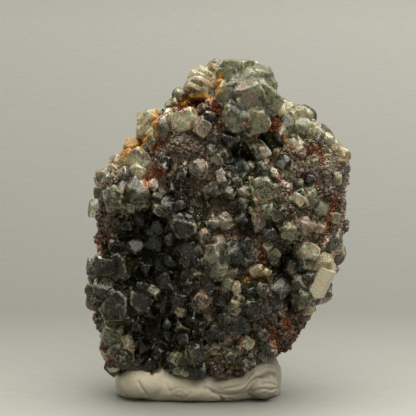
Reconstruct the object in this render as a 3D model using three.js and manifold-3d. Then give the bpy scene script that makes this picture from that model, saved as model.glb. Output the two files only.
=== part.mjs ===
// A hand-sized specimen of phantom fluorite grown over quartz, standing on a wad of mounting putty.
// Millimetres, +Z up, front towards -Y. The origin is on the surface it stands on, under the putty.
import * as THREE from "three";
import { ConvexGeometry } from "three/addons/geometries/ConvexGeometry.js";
import { mergeVertices } from "three/addons/utils/BufferGeometryUtils.js";
import Module from "manifold-3d";

// Driving dimensions
const MM_PER_PIXEL = 0.2; // real size over size in the picture, at the middle of the rock
const LEAN = THREE.MathUtils.degToRad(9.5); // how far the front face leans back
const ROCK_CENTRE = new THREE.Vector3(1.6, 0, 36.8); // where the middle of the picture falls
const PICTURE_MIDDLE = 208; // pixel column and row of that point
const VIEW_DISTANCE = 700; // from the camera to the middle of the rock
const FRONT_BULGE = 14.5; // depth of the rock in front of its outline
const BACK_BULGE = 14; // and behind it
const SEAT_GAP = 0.35; // between the rock and the putty that takes its print

const SLIVER = 0.25; // edges shorter than this are closed up
const WELD = 1e-3; // and corners nearer than this are one

// The rock's own surface: how finely it is cut, how rough it is, and the rounding of its edge
const ROCK_DETAIL = 7;
const FRONT_ROUGHNESS = 0.6;
const BACK_ROUGHNESS = 1.1; // the back is broken, not grown over
const ROCK_SEED = 7;
const EDGE_ACROSS = 0.62;
const EDGE_DEPTH = 0.72;
const FADE_RISE = 0.75; // swells and hollows fade out over this share of the way to the outline
const EDGE_LIMIT = 0.985; // nothing is placed nearer the outline than this share of the way
const NORMAL_STEP = 0.03; // between the points that a slope is measured over
const LATITUDE_LIMIT = 0.95; // slopes are measured no nearer the poles than this
const PLACING_PASSES = 4;
const PARALLEL = 1e-9; // a cross product below this means that two lines don't meet

const HEART = [216, 226]; // pixel that the outline is measured round

// The outline of the rock under its crystals, clockwise from the top, in pixels of the picture
const OUTLINE = [
  [231, 63], [251, 67], [264, 73], [273, 88], [277, 103], [298, 111], [310, 123], [325, 137],
  [337, 148], [346, 163], [344, 188], [342, 224], [339, 252], [331, 272], [317, 298], [306, 320],
  [296, 334], [283, 348], [268, 357], [256, 369], [240, 376], [215, 379], [190, 380], [160, 378],
  [136, 375], [120, 370], [108, 350], [101, 325], [94, 302], [91, 284], [97, 264], [103, 250],
  [100, 232], [101, 205], [103, 181], [113, 167], [129, 154], [143, 137], [146, 123], [157, 114],
  [173, 107], [184, 94], [195, 82], [209, 72], [220, 66],
];

// Swells and hollows of the front: [column, row, reach in pixels, height in mm]
const RELIEF = [
  [248, 98, 22, 3.6], // top knob
  [198, 102, 9, -4.5], // cavity behind the pale shelf
  [165, 124, 15, 2.2],
  [120, 184, 15, 4], // overhang at the upper left
  [180, 154, 17, 1.6],
  [150, 262, 27, -5.5], // the large hollow at the lower left
  [155, 335, 24, -6],
  [146, 226, 13, -3],
  [188, 226, 14, 3.4], // the buttress of large crystals in the middle
  [216, 256, 13, 2.6],
  [240, 162, 9, -4.5], // pits of the middle
  [214, 206, 10, -3.5],
  [238, 228, 8, -3.5],
  [262, 138, 9, -3],
  [302, 182, 7, -2.5],
  [262, 196, 12, 2.4], // right of the middle
  [294, 228, 11, 1.6],
  [285, 262, 11, -4.5],
  [286, 306, 8, -3.5],
  [325, 268, 12, 1.6],
  [252, 305, 15, 2],
  [196, 360, 10, 2], // foot
  [228, 360, 12, 1.6],
  [206, 346, 6, -3],
  [122, 318, 14, 2.4],
  [122, 350, 11, 2.6],
];

// Crystals that show in the picture: [column, row, width in mm, how far its middle stands out in mm]
const LARGE_CRYSTALS = [
  // top knob
  [240, 76, 7.6, 0.2], [256, 81, 6.4, 0.2], [264, 97, 6.8, 0], [231, 94, 5.6, 0.8], [248, 96, 6, 0.7],
  [229, 74, 5, 0.2], [238, 115, 6.6, 0.5], [256, 119, 6.4, 0.7], [267, 110, 4.4, 0.3], [243, 128, 4.4, 0.4],
  // pale shelf at the upper left
  [200, 80, 5, 0], [212, 72, 3.8, -0.4], [192, 90, 3.6, 0], [206, 92, 3.4, 0.4], [213, 102, 3.6, 0],
  [218, 84, 3, 0], [181, 95, 3.6, 0], [173, 104, 3, 0], [204, 109, 3, 0.2],
  // left shoulder
  [148, 119, 4.6, 0.2], [145, 132, 4, 0.6], [163, 129, 4.6, 0.8], [186, 120, 5.4, 0.8], [168, 115, 3, 0.2],
  [133, 146, 3.4, 0.2], [135, 162, 5.2, 0.6], [117, 164, 4, 0.2], [139, 174, 3.8, 0.8], [104, 176, 3.4, 0],
  [112, 186, 4.8, 0.6], [115, 199, 4.8, 1.2], [138, 190, 4.8, 1.4], [143, 201, 4, 0.8], [150, 150, 3.2, 0.2],
  // the dark slab and its lower edge
  [203, 130, 3.6, 0.4], [176, 147, 3.6, 0], [192, 150, 3.4, 0], [166, 163, 3.4, 0], [199, 168, 3.8, 0.8],
  [182, 174, 3.4, 0], [213, 142, 3.2, 0.2], [230, 139, 4.2, 0.4], [212, 118, 3.2, 0],
  // right shoulder
  [275, 127, 3.4, 0.4], [288, 109, 3.4, 0.2], [304, 114, 3, 0.2], [300, 128, 4.6, 0.5], [286, 124, 3.6, 0.2],
  [317, 138, 3.8, 0.2], [326, 140, 3, 0.2], [335, 147, 3.4, 0.3], [340, 156, 3.6, 0.2], [310, 148, 3.4, 0.3],
  [344, 169, 2.8, 0], [299, 148, 2.6, 0.6], [290, 145, 3.2, 0.2],
  // middle, upper
  [253, 149, 3, 0.8], [262, 155, 3.6, 1], [261, 168, 3.4, 1.4], [251, 167, 2.2, 1], [283, 163, 3.2, 0.4],
  [287, 153, 3.2, 0.2], [222, 179, 3, 1.6], [214, 189, 3.4, 1.6], [229, 190, 2.6, 1.2], [236, 182, 3, 0.8],
  [225, 153, 2.8, 0.6], [217, 160, 3, 0.6], [275, 175, 2.8, 0.4],
  // right of the middle
  [262, 191, 5.4, 1], [265, 209, 4, 1.4], [243, 204, 3.4, 1], [243, 217, 3.4, 1.2], [246, 193, 2.8, 0.8],
  [278, 214, 3.2, 0.6], [297, 186, 3, 0.8], [296, 200, 3.2, 0.8], [310, 198, 4, 0.4], [310, 181, 3, 0],
  [281, 196, 3, 0.2], [289, 232, 4.2, 1.6], [304, 226, 4, 0.8], [308, 251, 4, 1], [306, 262, 4, 0.4],
  [294, 269, 3.6, 0.4], [307, 277, 3.8, 0], [322, 262, 4.2, 0.4], [301, 297, 4.6, 0.8], [279, 289, 4, 1],
  [266, 272, 2.2, 1.2], [257, 271, 2.8, 0.6], [273, 255, 3.4, 0.4], [268, 247, 2.8, 0.2],
  [271, 231, 3.8, 0.2], [255, 229, 3.6, 0.2], [252, 256, 3.2, 0],
  // right flank
  [322, 172, 3, 0], [336, 178, 3.2, 0], [328, 192, 3.4, 0.2], [337, 201, 3, 0], [320, 208, 3.4, 0.2],
  [334, 218, 3.2, 0.2], [320, 228, 3, 0.2], [336, 238, 3.2, 0.2], [326, 243, 3.2, 0.2], [290, 212, 3.2, 0.2],
  // the buttress in the middle
  [185, 226, 6.6, 1], [188, 248, 4.4, 1], [213, 222, 2.8, 1.2], [224, 222, 3, 2], [203, 236, 3, 0.6],
  [219, 242, 3, 1.2], [213, 256, 3.8, 1], [201, 262, 3, 0.4], [237, 254, 5.6, 0.2], [219, 272, 4, 1],
  [229, 284, 3.4, 0.8], [182, 206, 3.4, 0.2], [165, 205, 3, 0], [190, 192, 3, 0], [172, 189, 3.2, 0],
  // the large hollow
  [126, 267, 5.8, 0.4], [155, 242, 4, 0], [170, 262, 3.6, 0], [154, 291, 2.8, 0.2], [178, 298, 4.2, 0.2],
  [148, 312, 4.4, 0], [195, 320, 4.4, 0], [168, 325, 4, 0], [160, 350, 4.2, 0], [128, 226, 3.6, 0],
  [146, 268, 4, 0], [190, 284, 3, 0], [112, 222, 3.2, 0.2], [150, 214, 3, 0], [184, 340, 3.6, 0],
  [134, 248, 4.6, 0], [141, 289, 4.6, 0.2], [164, 280, 4, 0], [136, 328, 4.2, 0], [141, 347, 4.2, 0.2],
  [150, 366, 4, 0], [158, 226, 3.6, 0], [117, 246, 3.8, 0], [172, 240, 3.6, 0],
  // left edge
  [102, 217, 2.8, 0], [101, 239, 3, 0], [96, 270, 3.4, 0], [104, 286, 4, 0.2], [93, 289, 2.8, 0],
  [121, 309, 7, 0.8], [100, 318, 3.2, 0], [112, 334, 4.2, 0.6], [128, 344, 3.2, 0.6], [124, 359, 4.4, 0.6],
  [106, 346, 3, 0], [114, 362, 3, 0],
  // below the middle
  [203, 300, 4.2, 0.6], [213, 287, 2.8, 0.6], [236, 287, 2.2, 1.2], [235, 304, 3, 1.2], [252, 309, 4.6, 0.8],
  [262, 290, 3.8, 0.4], [181, 311, 2.2, 0.8], [222, 318, 3.8, 0], [235, 328, 4, 0], [213, 330, 3.2, 0],
  // foot
  [195, 353, 4.8, 0.8], [176, 357, 2.8, 0.8], [181, 370, 3.4, 0.4], [199, 369, 3.8, 0.4], [212, 349, 2.6, 1],
  [229, 355, 3, 1], [222, 368, 4.4, 0.2], [247, 342, 3.2, 0.8], [251, 358, 3, 0.6], [262, 334, 3.6, 0.4],
  [268, 347, 3.6, 0.2], [238, 348, 2.8, 0.2], [240, 370, 3, 0.2],
  // lower right edge
  [285, 330, 4, 0.2], [285, 345, 3, 0], [299, 322, 3.2, 0], [277, 317, 3.8, 0.2], [309, 308, 3, 0],
];

// The blocky quartz crystals at the right edge: [column, row, column, row, width in mm], root to tip
const QUARTZ_PRISMS = [
  [334, 264, 311, 300, 5.4],
  [322, 258, 334, 274, 3.4],
];
const PRISM_STAND = 0.3; // how far a prism's axis stands out, as a share of its width
const PRISM_TIP = 0.45; // length of its pointed end, as a share of its width
const PRISM_TOP = 0.35; // how wide the end still is at its top

// Crystals that wrap round the flanks and thin out over the back, which the picture doesn't show
const FLANK_COUNT = 44;
const FLANK_WIDTHS = [3.4, 6.2];
const FLANK_SEED = 11;
const FLANK_STREAMS = 1000; // seeds of the single crystals
const FLANK_FIRST = 0.04; // latitude of the first, on the scale from 1 in front to -1 behind
const FLANK_REACH = 0.8; // how far towards the back's middle they go
const FLANK_THINNING = 1.3; // above 1, they get rarer towards it
const FLANK_SINK = 0.1; // how deep they sit, as a share of their width
const GOLDEN_ANGLE = 2.39996;

// Widths from which a crystal is a cuboctahedron, and a cube cut at its corners
const SMALL_CRYSTAL = 3.3;
const WIDE_CRYSTAL = 5.2;
const CUT_CUBE_REACH = 0.81; // half the width of a cut cube or cuboctahedron of mean radius 1
const CUBE_REACH = 0.72; // and of a cube
const CORNER_CUT = 0.45; // how much of a cut cube's edge its corners leave
const STRETCH = [0.9, 1.1];
const GRAIN_RADIUS = 0.45; // of a grain grown over an edge
const GRAIN_GROWTH = 0.6; // how far it reaches along it, as a share of the edge's length

// The putty's main roll: its ends and width, and the height of its crest from left to right
const PUTTY_LEFT = -17;
const PUTTY_RIGHT = 16.2;
const PUTTY_MIDDLE_Y = -4;
const PUTTY_HALF_DEPTH = 10.8;
const PUTTY_STEPS = 16;
const PUTTY_SECTION = 16;
const PUTTY_SQUARENESS = 0.75; // 1 is an oval section
const PUTTY_TAPER = 0.36; // how blunt its ends are
const PUTTY_BELLY = 0.42; // height of its widest line, as a share of the crest
const PUTTY_POLE = 1.2; // height of its two ends
const PUTTY_CREST = [
  [-17, 3], [-15, 5.2], [-12.5, 6.8], [-9, 7.1], [-5, 6.2], [-1, 5.6], [3, 6.1],
  [7, 6.2], [10, 7.8], [13, 8.8], [15, 7.6], [16.2, 5],
];

// The fold of putty that runs along the front and curls over at the right, and its round lobes
const FOLD_RADIUS = 1.55;
const FOLD_STEPS = 13;
const FOLD_SECTION = 8;
const FOLD_TAPER = 0.4;
const FOLD_PATH = [
  [1.2, -12.6, 2.6], [3.4, -13.6, 3.5], [6, -13.7, 3.5], [8.6, -13.5, 3.9],
  [10.3, -13.1, 5.4], [12.2, -12.4, 6.5], [14, -11.4, 6.3], [15, -10.6, 4.6],
];
const LOBE_SEGMENTS = [12, 7];
const LOBES = [
  { centre: [12.6, -11.6, 3.3], radii: [3.3, 3.8, 3] },
  { centre: [-1.5, -12, 2.3], radii: [5.2, 3.3, 2.2] },
  { centre: [-10.5, -10.2, 3.6], radii: [5.8, 4.6, 3.4] },
];

const COLOURS = { rock: 0x5c5a4a, putty: 0x9c9582 };

const wasm = await Module();
wasm.setup();

// A repeatable stream of numbers from 0 to 1 (mulberry32)
function randomStream(seed) {
  let state = seed | 0;
  return () => {
    state = (state + 0x6d2b79f5) | 0;
    let t = Math.imul(state ^ (state >>> 15), 1 | state);
    t = (t + Math.imul(t ^ (t >>> 7), 61 | t)) ^ t;
    return ((t ^ (t >>> 14)) >>> 0) / 4294967296;
  };
}

// A pixel of the picture at a depth towards the viewer, in the leaning rock's own frame
function fromPicture(column, row, depth = 0) {
  const scale = MM_PER_PIXEL * (1 - depth / VIEW_DISTANCE);
  const right = (column - PICTURE_MIDDLE) * scale;
  const up = (PICTURE_MIDDLE - row) * scale;
  return new THREE.Vector3(right, -depth, up);
}

const heart = fromPicture(...HEART);
const outline = OUTLINE.map(([column, row]) => fromPicture(column, row));

// Distance from the heart to the outline, in the direction of an angle in the rock's front plane
function outlineReach(angle) {
  const aim = new THREE.Vector2(Math.cos(angle), Math.sin(angle));
  let reach = 0;
  outline.forEach((corner, i) => {
    const next = outline[(i + 1) % outline.length];
    const a = new THREE.Vector2(corner.x - heart.x, corner.z - heart.z);
    const edge = new THREE.Vector2(next.x - corner.x, next.z - corner.z);
    const across = aim.cross(edge);
    if (Math.abs(across) < PARALLEL) return;
    const along = a.cross(edge) / across;
    const share = a.cross(aim) / across;
    if (share >= 0 && share <= 1 && along > reach) reach = along;
  });
  return reach;
}

// The front's swells and hollows at a point of the front plane
function relief(x, z) {
  return RELIEF.reduce((sum, [column, row, reach, height]) => {
    const centre = fromPicture(column, row);
    const far = ((x - centre.x) ** 2 + (z - centre.z) ** 2) / (reach * MM_PER_PIXEL) ** 2;
    return sum + height * Math.exp(-far / 2);
  }, 0);
}

// Low waves that keep the flanks and the back from being smooth
function waves(x, z, side) {
  const first = Math.sin(0.31 * x + 0.17 * z + 1.3 * side);
  const second = Math.sin(0.23 * z - 0.36 * x + 2.1 * side);
  const third = Math.sin(0.52 * z + 0.44 * x);
  return 0.8 * first + 0.7 * second + 0.5 * third;
}

// Depth towards the viewer of the rock's surface; latitude runs from the back, -1, to the front, 1
function depthAt(x, z, latitude) {
  const rise = Math.abs(Math.sin((latitude * Math.PI) / 2));
  const bulge = latitude > 0 ? FRONT_BULGE : -BACK_BULGE;
  const blend = THREE.MathUtils.smoothstep(rise, 0, FADE_RISE);
  const shape = latitude > 0 ? relief(x, z) : -waves(x, z, 1);
  return bulge * rise ** EDGE_DEPTH + blend * shape;
}

function rockPoint(angle, latitude) {
  const across = outlineReach(angle) * Math.cos((latitude * Math.PI) / 2) ** EDGE_ACROSS;
  const x = heart.x + across * Math.cos(angle);
  const z = heart.z + across * Math.sin(angle);
  return new THREE.Vector3(x, -depthAt(x, z, latitude), z);
}

function rockNormal(angle, latitude) {
  const at = THREE.MathUtils.clamp(latitude, -LATITUDE_LIMIT, LATITUDE_LIMIT);
  const across = rockPoint(angle + NORMAL_STEP, at).sub(rockPoint(angle - NORMAL_STEP, at));
  const along = rockPoint(angle, at + NORMAL_STEP).sub(rockPoint(angle, at - NORMAL_STEP));
  return along.cross(across).negate().normalize();
}

// The front surface under a pixel of the picture
function frontPoint(column, row) {
  let point = fromPicture(column, row, FRONT_BULGE);
  for (let pass = 0; pass < PLACING_PASSES; pass++) {
    const right = point.x - heart.x;
    const up = point.z - heart.z;
    const share = Math.hypot(right, up) / outlineReach(Math.atan2(up, right));
    const latitude = (Math.acos(Math.min(share, EDGE_LIMIT) ** (1 / EDGE_ACROSS)) * 2) / Math.PI;
    point = fromPicture(column, row, depthAt(point.x, point.z, latitude));
  }
  return point;
}

function welded(geometry) {
  const bare = geometry.clone();
  bare.deleteAttribute("normal");
  bare.deleteAttribute("uv");
  return mergeVertices(bare, WELD);
}

function solidFrom(geometry) {
  const merged = welded(geometry);
  return new wasm.Manifold(
    new wasm.Mesh({
      numProp: 3,
      vertProperties: new Float32Array(merged.attributes.position.array),
      triVerts: new Uint32Array(merged.index.array),
    }),
  );
}

function geometryFrom(solid) {
  const mesh = solid.getMesh();
  const geometry = new THREE.BufferGeometry();
  geometry.setAttribute("position", new THREE.BufferAttribute(mesh.vertProperties, 3));
  geometry.setIndex(new THREE.BufferAttribute(mesh.triVerts, 1));
  geometry.computeVertexNormals();
  return geometry;
}

// The rock without its crystals, grown outwards by a clearance: a ball's points moved onto it
function rockBody(clearance) {
  const ball = welded(new THREE.IcosahedronGeometry(1, ROCK_DETAIL));
  const corners = ball.attributes.position;
  const random = randomStream(ROCK_SEED);
  const corner = new THREE.Vector3();
  for (let i = 0; i < corners.count; i++) {
    corner.fromBufferAttribute(corners, i);
    const angle = Math.atan2(corner.z, corner.x);
    const latitude = (Math.asin(THREE.MathUtils.clamp(-corner.y, -1, 1)) * 2) / Math.PI;
    const roughness = latitude > 0 ? FRONT_ROUGHNESS : BACK_ROUGHNESS;
    const out = clearance + roughness * (2 * random() - 1);
    const point = rockPoint(angle, latitude).addScaledVector(rockNormal(angle, latitude), out);
    corners.setXYZ(i, ...point);
  }
  return ball;
}

// The three habits of the fluorite, as the corners of a solid with a mean radius of about 1
function cutCube(cut) {
  const corners = [];
  for (const a of [-1, 1])
    for (const b of [-1, 1])
      for (const c of cut ? [-cut, cut] : [0]) corners.push([a, b, c], [b, c, a], [c, a, b]);
  return corners.map((corner) => new THREE.Vector3(...corner).multiplyScalar(CUT_CUBE_REACH));
}

function cube() {
  const corners = [-1, 1].flatMap((a) => [-1, 1].flatMap((b) => [[a, b, -1], [a, b, 1]]));
  return corners.map((corner) => new THREE.Vector3(...corner).multiplyScalar(CUBE_REACH));
}

function habit(width) {
  if (width >= WIDE_CRYSTAL) return cutCube(CORNER_CUT);
  return width >= SMALL_CRYSTAL ? cutCube(0) : cube();
}

function threeOf(draw) {
  return [draw(), draw(), draw()];
}

// A fluorite crystal turned at random
function fluorite(centre, width, random, clearance) {
  const radius = width / 2 + clearance;
  const stretch = new THREE.Vector3(...threeOf(() => THREE.MathUtils.lerp(...STRETCH, random())));
  const turn = new THREE.Euler(...threeOf(() => random() * Math.PI));
  const corners = habit(width).map((corner) =>
    corner.multiply(stretch).multiplyScalar(radius).applyEuler(turn).add(centre),
  );
  return new ConvexGeometry(corners);
}

// A six-sided quartz prism with a pointed end, rooted in the rock
function quartzPrism([rootColumn, rootRow, tipColumn, tipRow, width], clearance) {
  const root = frontPoint(rootColumn, rootRow);
  const tip = frontPoint(tipColumn, tipRow);
  const stand = new THREE.Vector3(0, -width * PRISM_STAND, 0);
  const along = tip.clone().sub(root);
  const radius = width / 2 + clearance;
  const length = along.length() + clearance;
  const profile = [
    [0, 0],
    [radius, 0],
    [radius, length - width * PRISM_TIP],
    [radius * PRISM_TOP, length],
    [0, length],
  ].map(([r, y]) => new THREE.Vector2(r, y));
  const geometry = new THREE.LatheGeometry(profile, 6);
  const turn = new THREE.Quaternion().setFromUnitVectors(
    new THREE.Vector3(0, 1, 0),
    along.clone().normalize(),
  );
  return geometry.applyQuaternion(turn).translate(...root.add(stand));
}

// The edges where four faces meet, because two crystals only just touch there
function pinchedEdges(solid) {
  const { attributes, index } = welded(geometryFrom(solid));
  const corner = (i) => new THREE.Vector3().fromBufferAttribute(attributes.position, i);
  const uses = new Map();
  for (let i = 0; i < index.count; i += 3) {
    const face = [0, 1, 2].map((j) => index.getX(i + j));
    face.forEach((from, j) => {
      const edge = [from, face[(j + 1) % 3]].sort((p, q) => p - q).join(" ");
      uses.set(edge, (uses.get(edge) ?? 0) + 1);
    });
  }
  const pinched = [...uses].filter(([, count]) => count > 2);
  return pinched.map(([edge]) => edge.split(" ").map((i) => corner(Number(i))));
}

// A long grain grown over an edge
function grain([from, to]) {
  const along = to.clone().sub(from);
  const reach = GRAIN_GROWTH * along.length() + GRAIN_RADIUS;
  const turn = new THREE.Quaternion().setFromUnitVectors(new THREE.Vector3(0, 1, 0), along.normalize());
  const shape = new THREE.IcosahedronGeometry(1).scale(GRAIN_RADIUS, reach, GRAIN_RADIUS);
  return solidFrom(shape.applyQuaternion(turn).translate(...from.clone().lerp(to, 0.5)));
}

// A solid as one whole body, without slivers or pinched edges
function tidied(solid) {
  const plain = solid.asOriginal().simplify(SLIVER);
  const filled = wasm.Manifold.union([plain, ...pinchedEdges(plain).map(grain)]);
  return filled.decompose().reduce((best, body) => (body.volume() > best.volume() ? body : best));
}

// The rock with everything that grows on it, in its own leaning frame
function specimen(clearance) {
  const grown = LARGE_CRYSTALS.map(([column, row, width, standing], i) => {
    const centre = frontPoint(column, row).add(new THREE.Vector3(0, -standing, 0));
    return fluorite(centre, width, randomStream(i + 1), clearance);
  });
  const random = randomStream(FLANK_SEED);
  for (let i = 0; i < FLANK_COUNT; i++) {
    const angle = i * GOLDEN_ANGLE;
    const share = ((i + random()) / FLANK_COUNT) ** FLANK_THINNING;
    const latitude = FLANK_FIRST - FLANK_REACH * share;
    const width = THREE.MathUtils.lerp(...FLANK_WIDTHS, random() ** 2);
    const centre = rockPoint(angle, latitude);
    centre.addScaledVector(rockNormal(angle, latitude), -FLANK_SINK * width);
    grown.push(fluorite(centre, width, randomStream(FLANK_STREAMS + i), clearance));
  }
  grown.push(...QUARTZ_PRISMS.map((prism) => quartzPrism(prism, clearance)));
  const solids = [rockBody(clearance), ...grown].map(solidFrom);
  return tidied(wasm.Manifold.union(solids));
}

function interpolate(table, x) {
  const next = table.findIndex(([at]) => at >= x);
  if (next <= 0) return table[next < 0 ? table.length - 1 : 0][1];
  const [x0, y0] = table[next - 1];
  const [x1, y1] = table[next];
  return y0 + ((y1 - y0) * (x - x0)) / (x1 - x0);
}

// A closed surface from a pole, rings of points and a second pole
function ringedGeometry(firstPole, rings, lastPole) {
  const points = [firstPole, ...rings.flat(), lastPole];
  const size = rings[0].length;
  const index = [];
  const at = (ring, i) => 1 + ring * size + (i % size);
  for (let i = 0; i < size; i++) {
    index.push(0, at(0, i), at(0, i + 1));
    for (let ring = 0; ring + 1 < rings.length; ring++) {
      index.push(at(ring, i), at(ring + 1, i), at(ring + 1, i + 1));
      index.push(at(ring, i), at(ring + 1, i + 1), at(ring, i + 1));
    }
    index.push(points.length - 1, at(rings.length - 1, i + 1), at(rings.length - 1, i));
  }
  const geometry = new THREE.BufferGeometry().setFromPoints(points);
  geometry.setIndex(index);
  return geometry;
}

// The main roll of the putty, pressed flat underneath
function puttyRoll() {
  const rings = [];
  const middle = (PUTTY_LEFT + PUTTY_RIGHT) / 2;
  const half = (PUTTY_RIGHT - PUTTY_LEFT) / 2;
  for (let i = 1; i < PUTTY_STEPS; i++) {
    const x = middle - half * Math.cos((i / PUTTY_STEPS) * Math.PI);
    const depth = PUTTY_HALF_DEPTH * (1 - ((x - middle) / half) ** 2) ** PUTTY_TAPER;
    const crest = interpolate(PUTTY_CREST, x);
    rings.push(
      Array.from({ length: PUTTY_SECTION }, (_, j) => {
        const turn = (-j / PUTTY_SECTION) * 2 * Math.PI;
        const side = Math.sign(Math.cos(turn)) * Math.abs(Math.cos(turn)) ** PUTTY_SQUARENESS;
        const up = Math.sign(Math.sin(turn)) * Math.abs(Math.sin(turn)) ** PUTTY_SQUARENESS;
        const z = Math.max(0, crest * THREE.MathUtils.lerp(PUTTY_BELLY, 1, up));
        return new THREE.Vector3(x, PUTTY_MIDDLE_Y + depth * side, z);
      }),
    );
  }
  const left = new THREE.Vector3(PUTTY_LEFT, PUTTY_MIDDLE_Y, PUTTY_POLE);
  const right = new THREE.Vector3(PUTTY_RIGHT, PUTTY_MIDDLE_Y, PUTTY_POLE);
  return ringedGeometry(left, rings, right);
}

// The fold, a roll that follows its path and tapers to both ends
function puttyFold() {
  const path = new THREE.CatmullRomCurve3(FOLD_PATH.map((point) => new THREE.Vector3(...point)));
  const frames = path.computeFrenetFrames(FOLD_STEPS);
  const rings = [];
  for (let i = 1; i < FOLD_STEPS; i++) {
    const centre = path.getPointAt(i / FOLD_STEPS);
    const radius = FOLD_RADIUS * Math.sin((i / FOLD_STEPS) * Math.PI) ** FOLD_TAPER;
    rings.push(
      Array.from({ length: FOLD_SECTION }, (_, j) => {
        const turn = (-j / FOLD_SECTION) * 2 * Math.PI;
        return centre
          .clone()
          .addScaledVector(frames.normals[i], radius * Math.cos(turn))
          .addScaledVector(frames.binormals[i], radius * Math.sin(turn));
      }),
    );
  }
  return ringedGeometry(path.getPointAt(0), rings, path.getPointAt(1));
}

function puttyLobe({ centre, radii }) {
  return new THREE.SphereGeometry(1, ...LOBE_SEGMENTS).scale(...radii).translate(...centre);
}

// The whole wad: the roll, its fold and its lobes, worked into one
function puttyWad() {
  return wasm.Manifold.union([puttyRoll(), puttyFold(), ...LOBES.map(puttyLobe)].map(solidFrom));
}

function leaning() {
  const group = new THREE.Group();
  group.position.copy(ROCK_CENTRE);
  group.rotation.x = -LEAN;
  group.updateMatrixWorld(true);
  return group;
}

function rockMesh() {
  const material = new THREE.MeshStandardMaterial({
    color: COLOURS.rock,
    roughness: 0.3,
    metalness: 0,
  });
  const mesh = new THREE.Mesh(geometryFrom(specimen(0)), material);
  mesh.name = "fluorite_on_quartz";
  return mesh;
}

function puttyMesh() {
  const print = geometryFrom(specimen(SEAT_GAP)).applyMatrix4(leaning().matrixWorld);
  const solid = tidied(puttyWad().subtract(solidFrom(print)));
  const material = new THREE.MeshStandardMaterial({
    color: COLOURS.putty,
    roughness: 0.85,
    metalness: 0,
  });
  const mesh = new THREE.Mesh(geometryFrom(solid), material);
  mesh.name = "mounting_putty";
  return mesh;
}

const part = new THREE.Group();
const rock = leaning();
rock.add(rockMesh());
part.add(rock, puttyMesh());

export default part;
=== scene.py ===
import math
from itertools import combinations, pairwise

import bmesh
import bpy
import numpy as np
from mathutils import Matrix, Vector, noise
from mathutils.bvhtree import BVHTree


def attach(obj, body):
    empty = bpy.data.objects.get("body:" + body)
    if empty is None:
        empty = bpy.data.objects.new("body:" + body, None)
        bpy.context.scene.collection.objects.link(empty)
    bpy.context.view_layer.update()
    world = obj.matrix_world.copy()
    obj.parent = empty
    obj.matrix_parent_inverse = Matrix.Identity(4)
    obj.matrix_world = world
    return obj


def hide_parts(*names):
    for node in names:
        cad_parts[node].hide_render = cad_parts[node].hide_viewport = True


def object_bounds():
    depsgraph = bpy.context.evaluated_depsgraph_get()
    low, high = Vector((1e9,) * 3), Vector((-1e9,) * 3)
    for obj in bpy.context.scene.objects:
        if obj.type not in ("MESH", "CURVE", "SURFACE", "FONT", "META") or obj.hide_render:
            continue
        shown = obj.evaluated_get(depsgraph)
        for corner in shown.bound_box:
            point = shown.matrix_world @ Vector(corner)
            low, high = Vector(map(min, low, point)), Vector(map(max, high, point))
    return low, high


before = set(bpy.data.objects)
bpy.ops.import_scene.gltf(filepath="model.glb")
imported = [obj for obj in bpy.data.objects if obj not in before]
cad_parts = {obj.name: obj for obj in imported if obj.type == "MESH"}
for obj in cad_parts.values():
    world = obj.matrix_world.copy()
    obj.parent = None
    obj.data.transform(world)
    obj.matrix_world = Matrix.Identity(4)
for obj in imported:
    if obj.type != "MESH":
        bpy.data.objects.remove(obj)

CAD_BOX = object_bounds()

# Driving dimensions, in millimetres and degrees
MM = 0.001
MM_PER_PIXEL = 0.2
LEAN = math.radians(9.5)
ROCK_CENTRE = np.array([1.6, 0.0, 36.8])
PICTURE_MIDDLE = 208
PICTURE_SIZE = 416
VIEW_DISTANCE = 700.0
EYE = np.array([0.0, -VIEW_DISTANCE, 0.0])
FRONT_BULGE = 14.5
BACK_BULGE = 14.0

# The rounding of the rock's edge: swells fade out over a share of the way to the outline, and
# nothing is placed nearer to it than the limit; then the step that normals are taken over, the
# rounds that it takes to find what lies under a pixel, and how small a cross product is none
EDGE_ACROSS = 0.62
EDGE_DEPTH = 0.72
FADE_RISE = 0.75
EDGE_LIMIT = 0.985
LATITUDE_LIMIT = 0.95
NORMAL_STEP = 0.03
PLACING_PASSES = 4
PARALLEL = 1e-9

# The pixel that the outline is measured round
HEART = (216, 226)

# The outline of the rock under its crystals, clockwise from the top, in pixels of the picture
OUTLINE = [
    (231, 63), (251, 67), (264, 73), (273, 88), (277, 103), (298, 111), (310, 123), (325, 137),
    (337, 148), (346, 163), (344, 188), (342, 224), (339, 252), (331, 272), (317, 298), (306, 320),
    (296, 334), (283, 348), (268, 357), (256, 369), (240, 376), (215, 379), (190, 380), (160, 378),
    (136, 375), (120, 370), (108, 350), (101, 325), (94, 302), (91, 284), (97, 264), (103, 250),
    (100, 232), (101, 205), (103, 181), (113, 167), (129, 154), (143, 137), (146, 123), (157, 114),
    (173, 107), (184, 94), (195, 82), (209, 72), (220, 66),
]

# Swells and hollows of the front: column, row, reach in pixels, height in mm
RELIEF = [
    (248, 98, 22, 3.6), (198, 102, 9, -4.5), (165, 124, 15, 2.2), (120, 184, 15, 4),
    (180, 154, 17, 1.6), (150, 262, 27, -5.5), (155, 335, 24, -6), (146, 226, 13, -3),
    (188, 226, 14, 3.4), (216, 256, 13, 2.6), (240, 162, 9, -4.5), (214, 206, 10, -3.5),
    (238, 228, 8, -3.5), (262, 138, 9, -3), (302, 182, 7, -2.5), (262, 196, 12, 2.4),
    (294, 228, 11, 1.6), (285, 262, 11, -4.5), (286, 306, 8, -3.5), (325, 268, 12, 1.6),
    (252, 305, 15, 2), (196, 360, 10, 2), (228, 360, 12, 1.6), (206, 346, 6, -3),
    (122, 318, 14, 2.4), (122, 350, 11, 2.6),
]

# Waves of the back: how much they turn per mm across and up, where they start, height in mm
WAVES = [(0.31, 0.17, 1.3, 0.8), (-0.36, 0.23, 2.1, 0.7), (0.44, 0.52, 0.0, 0.5)]

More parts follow.
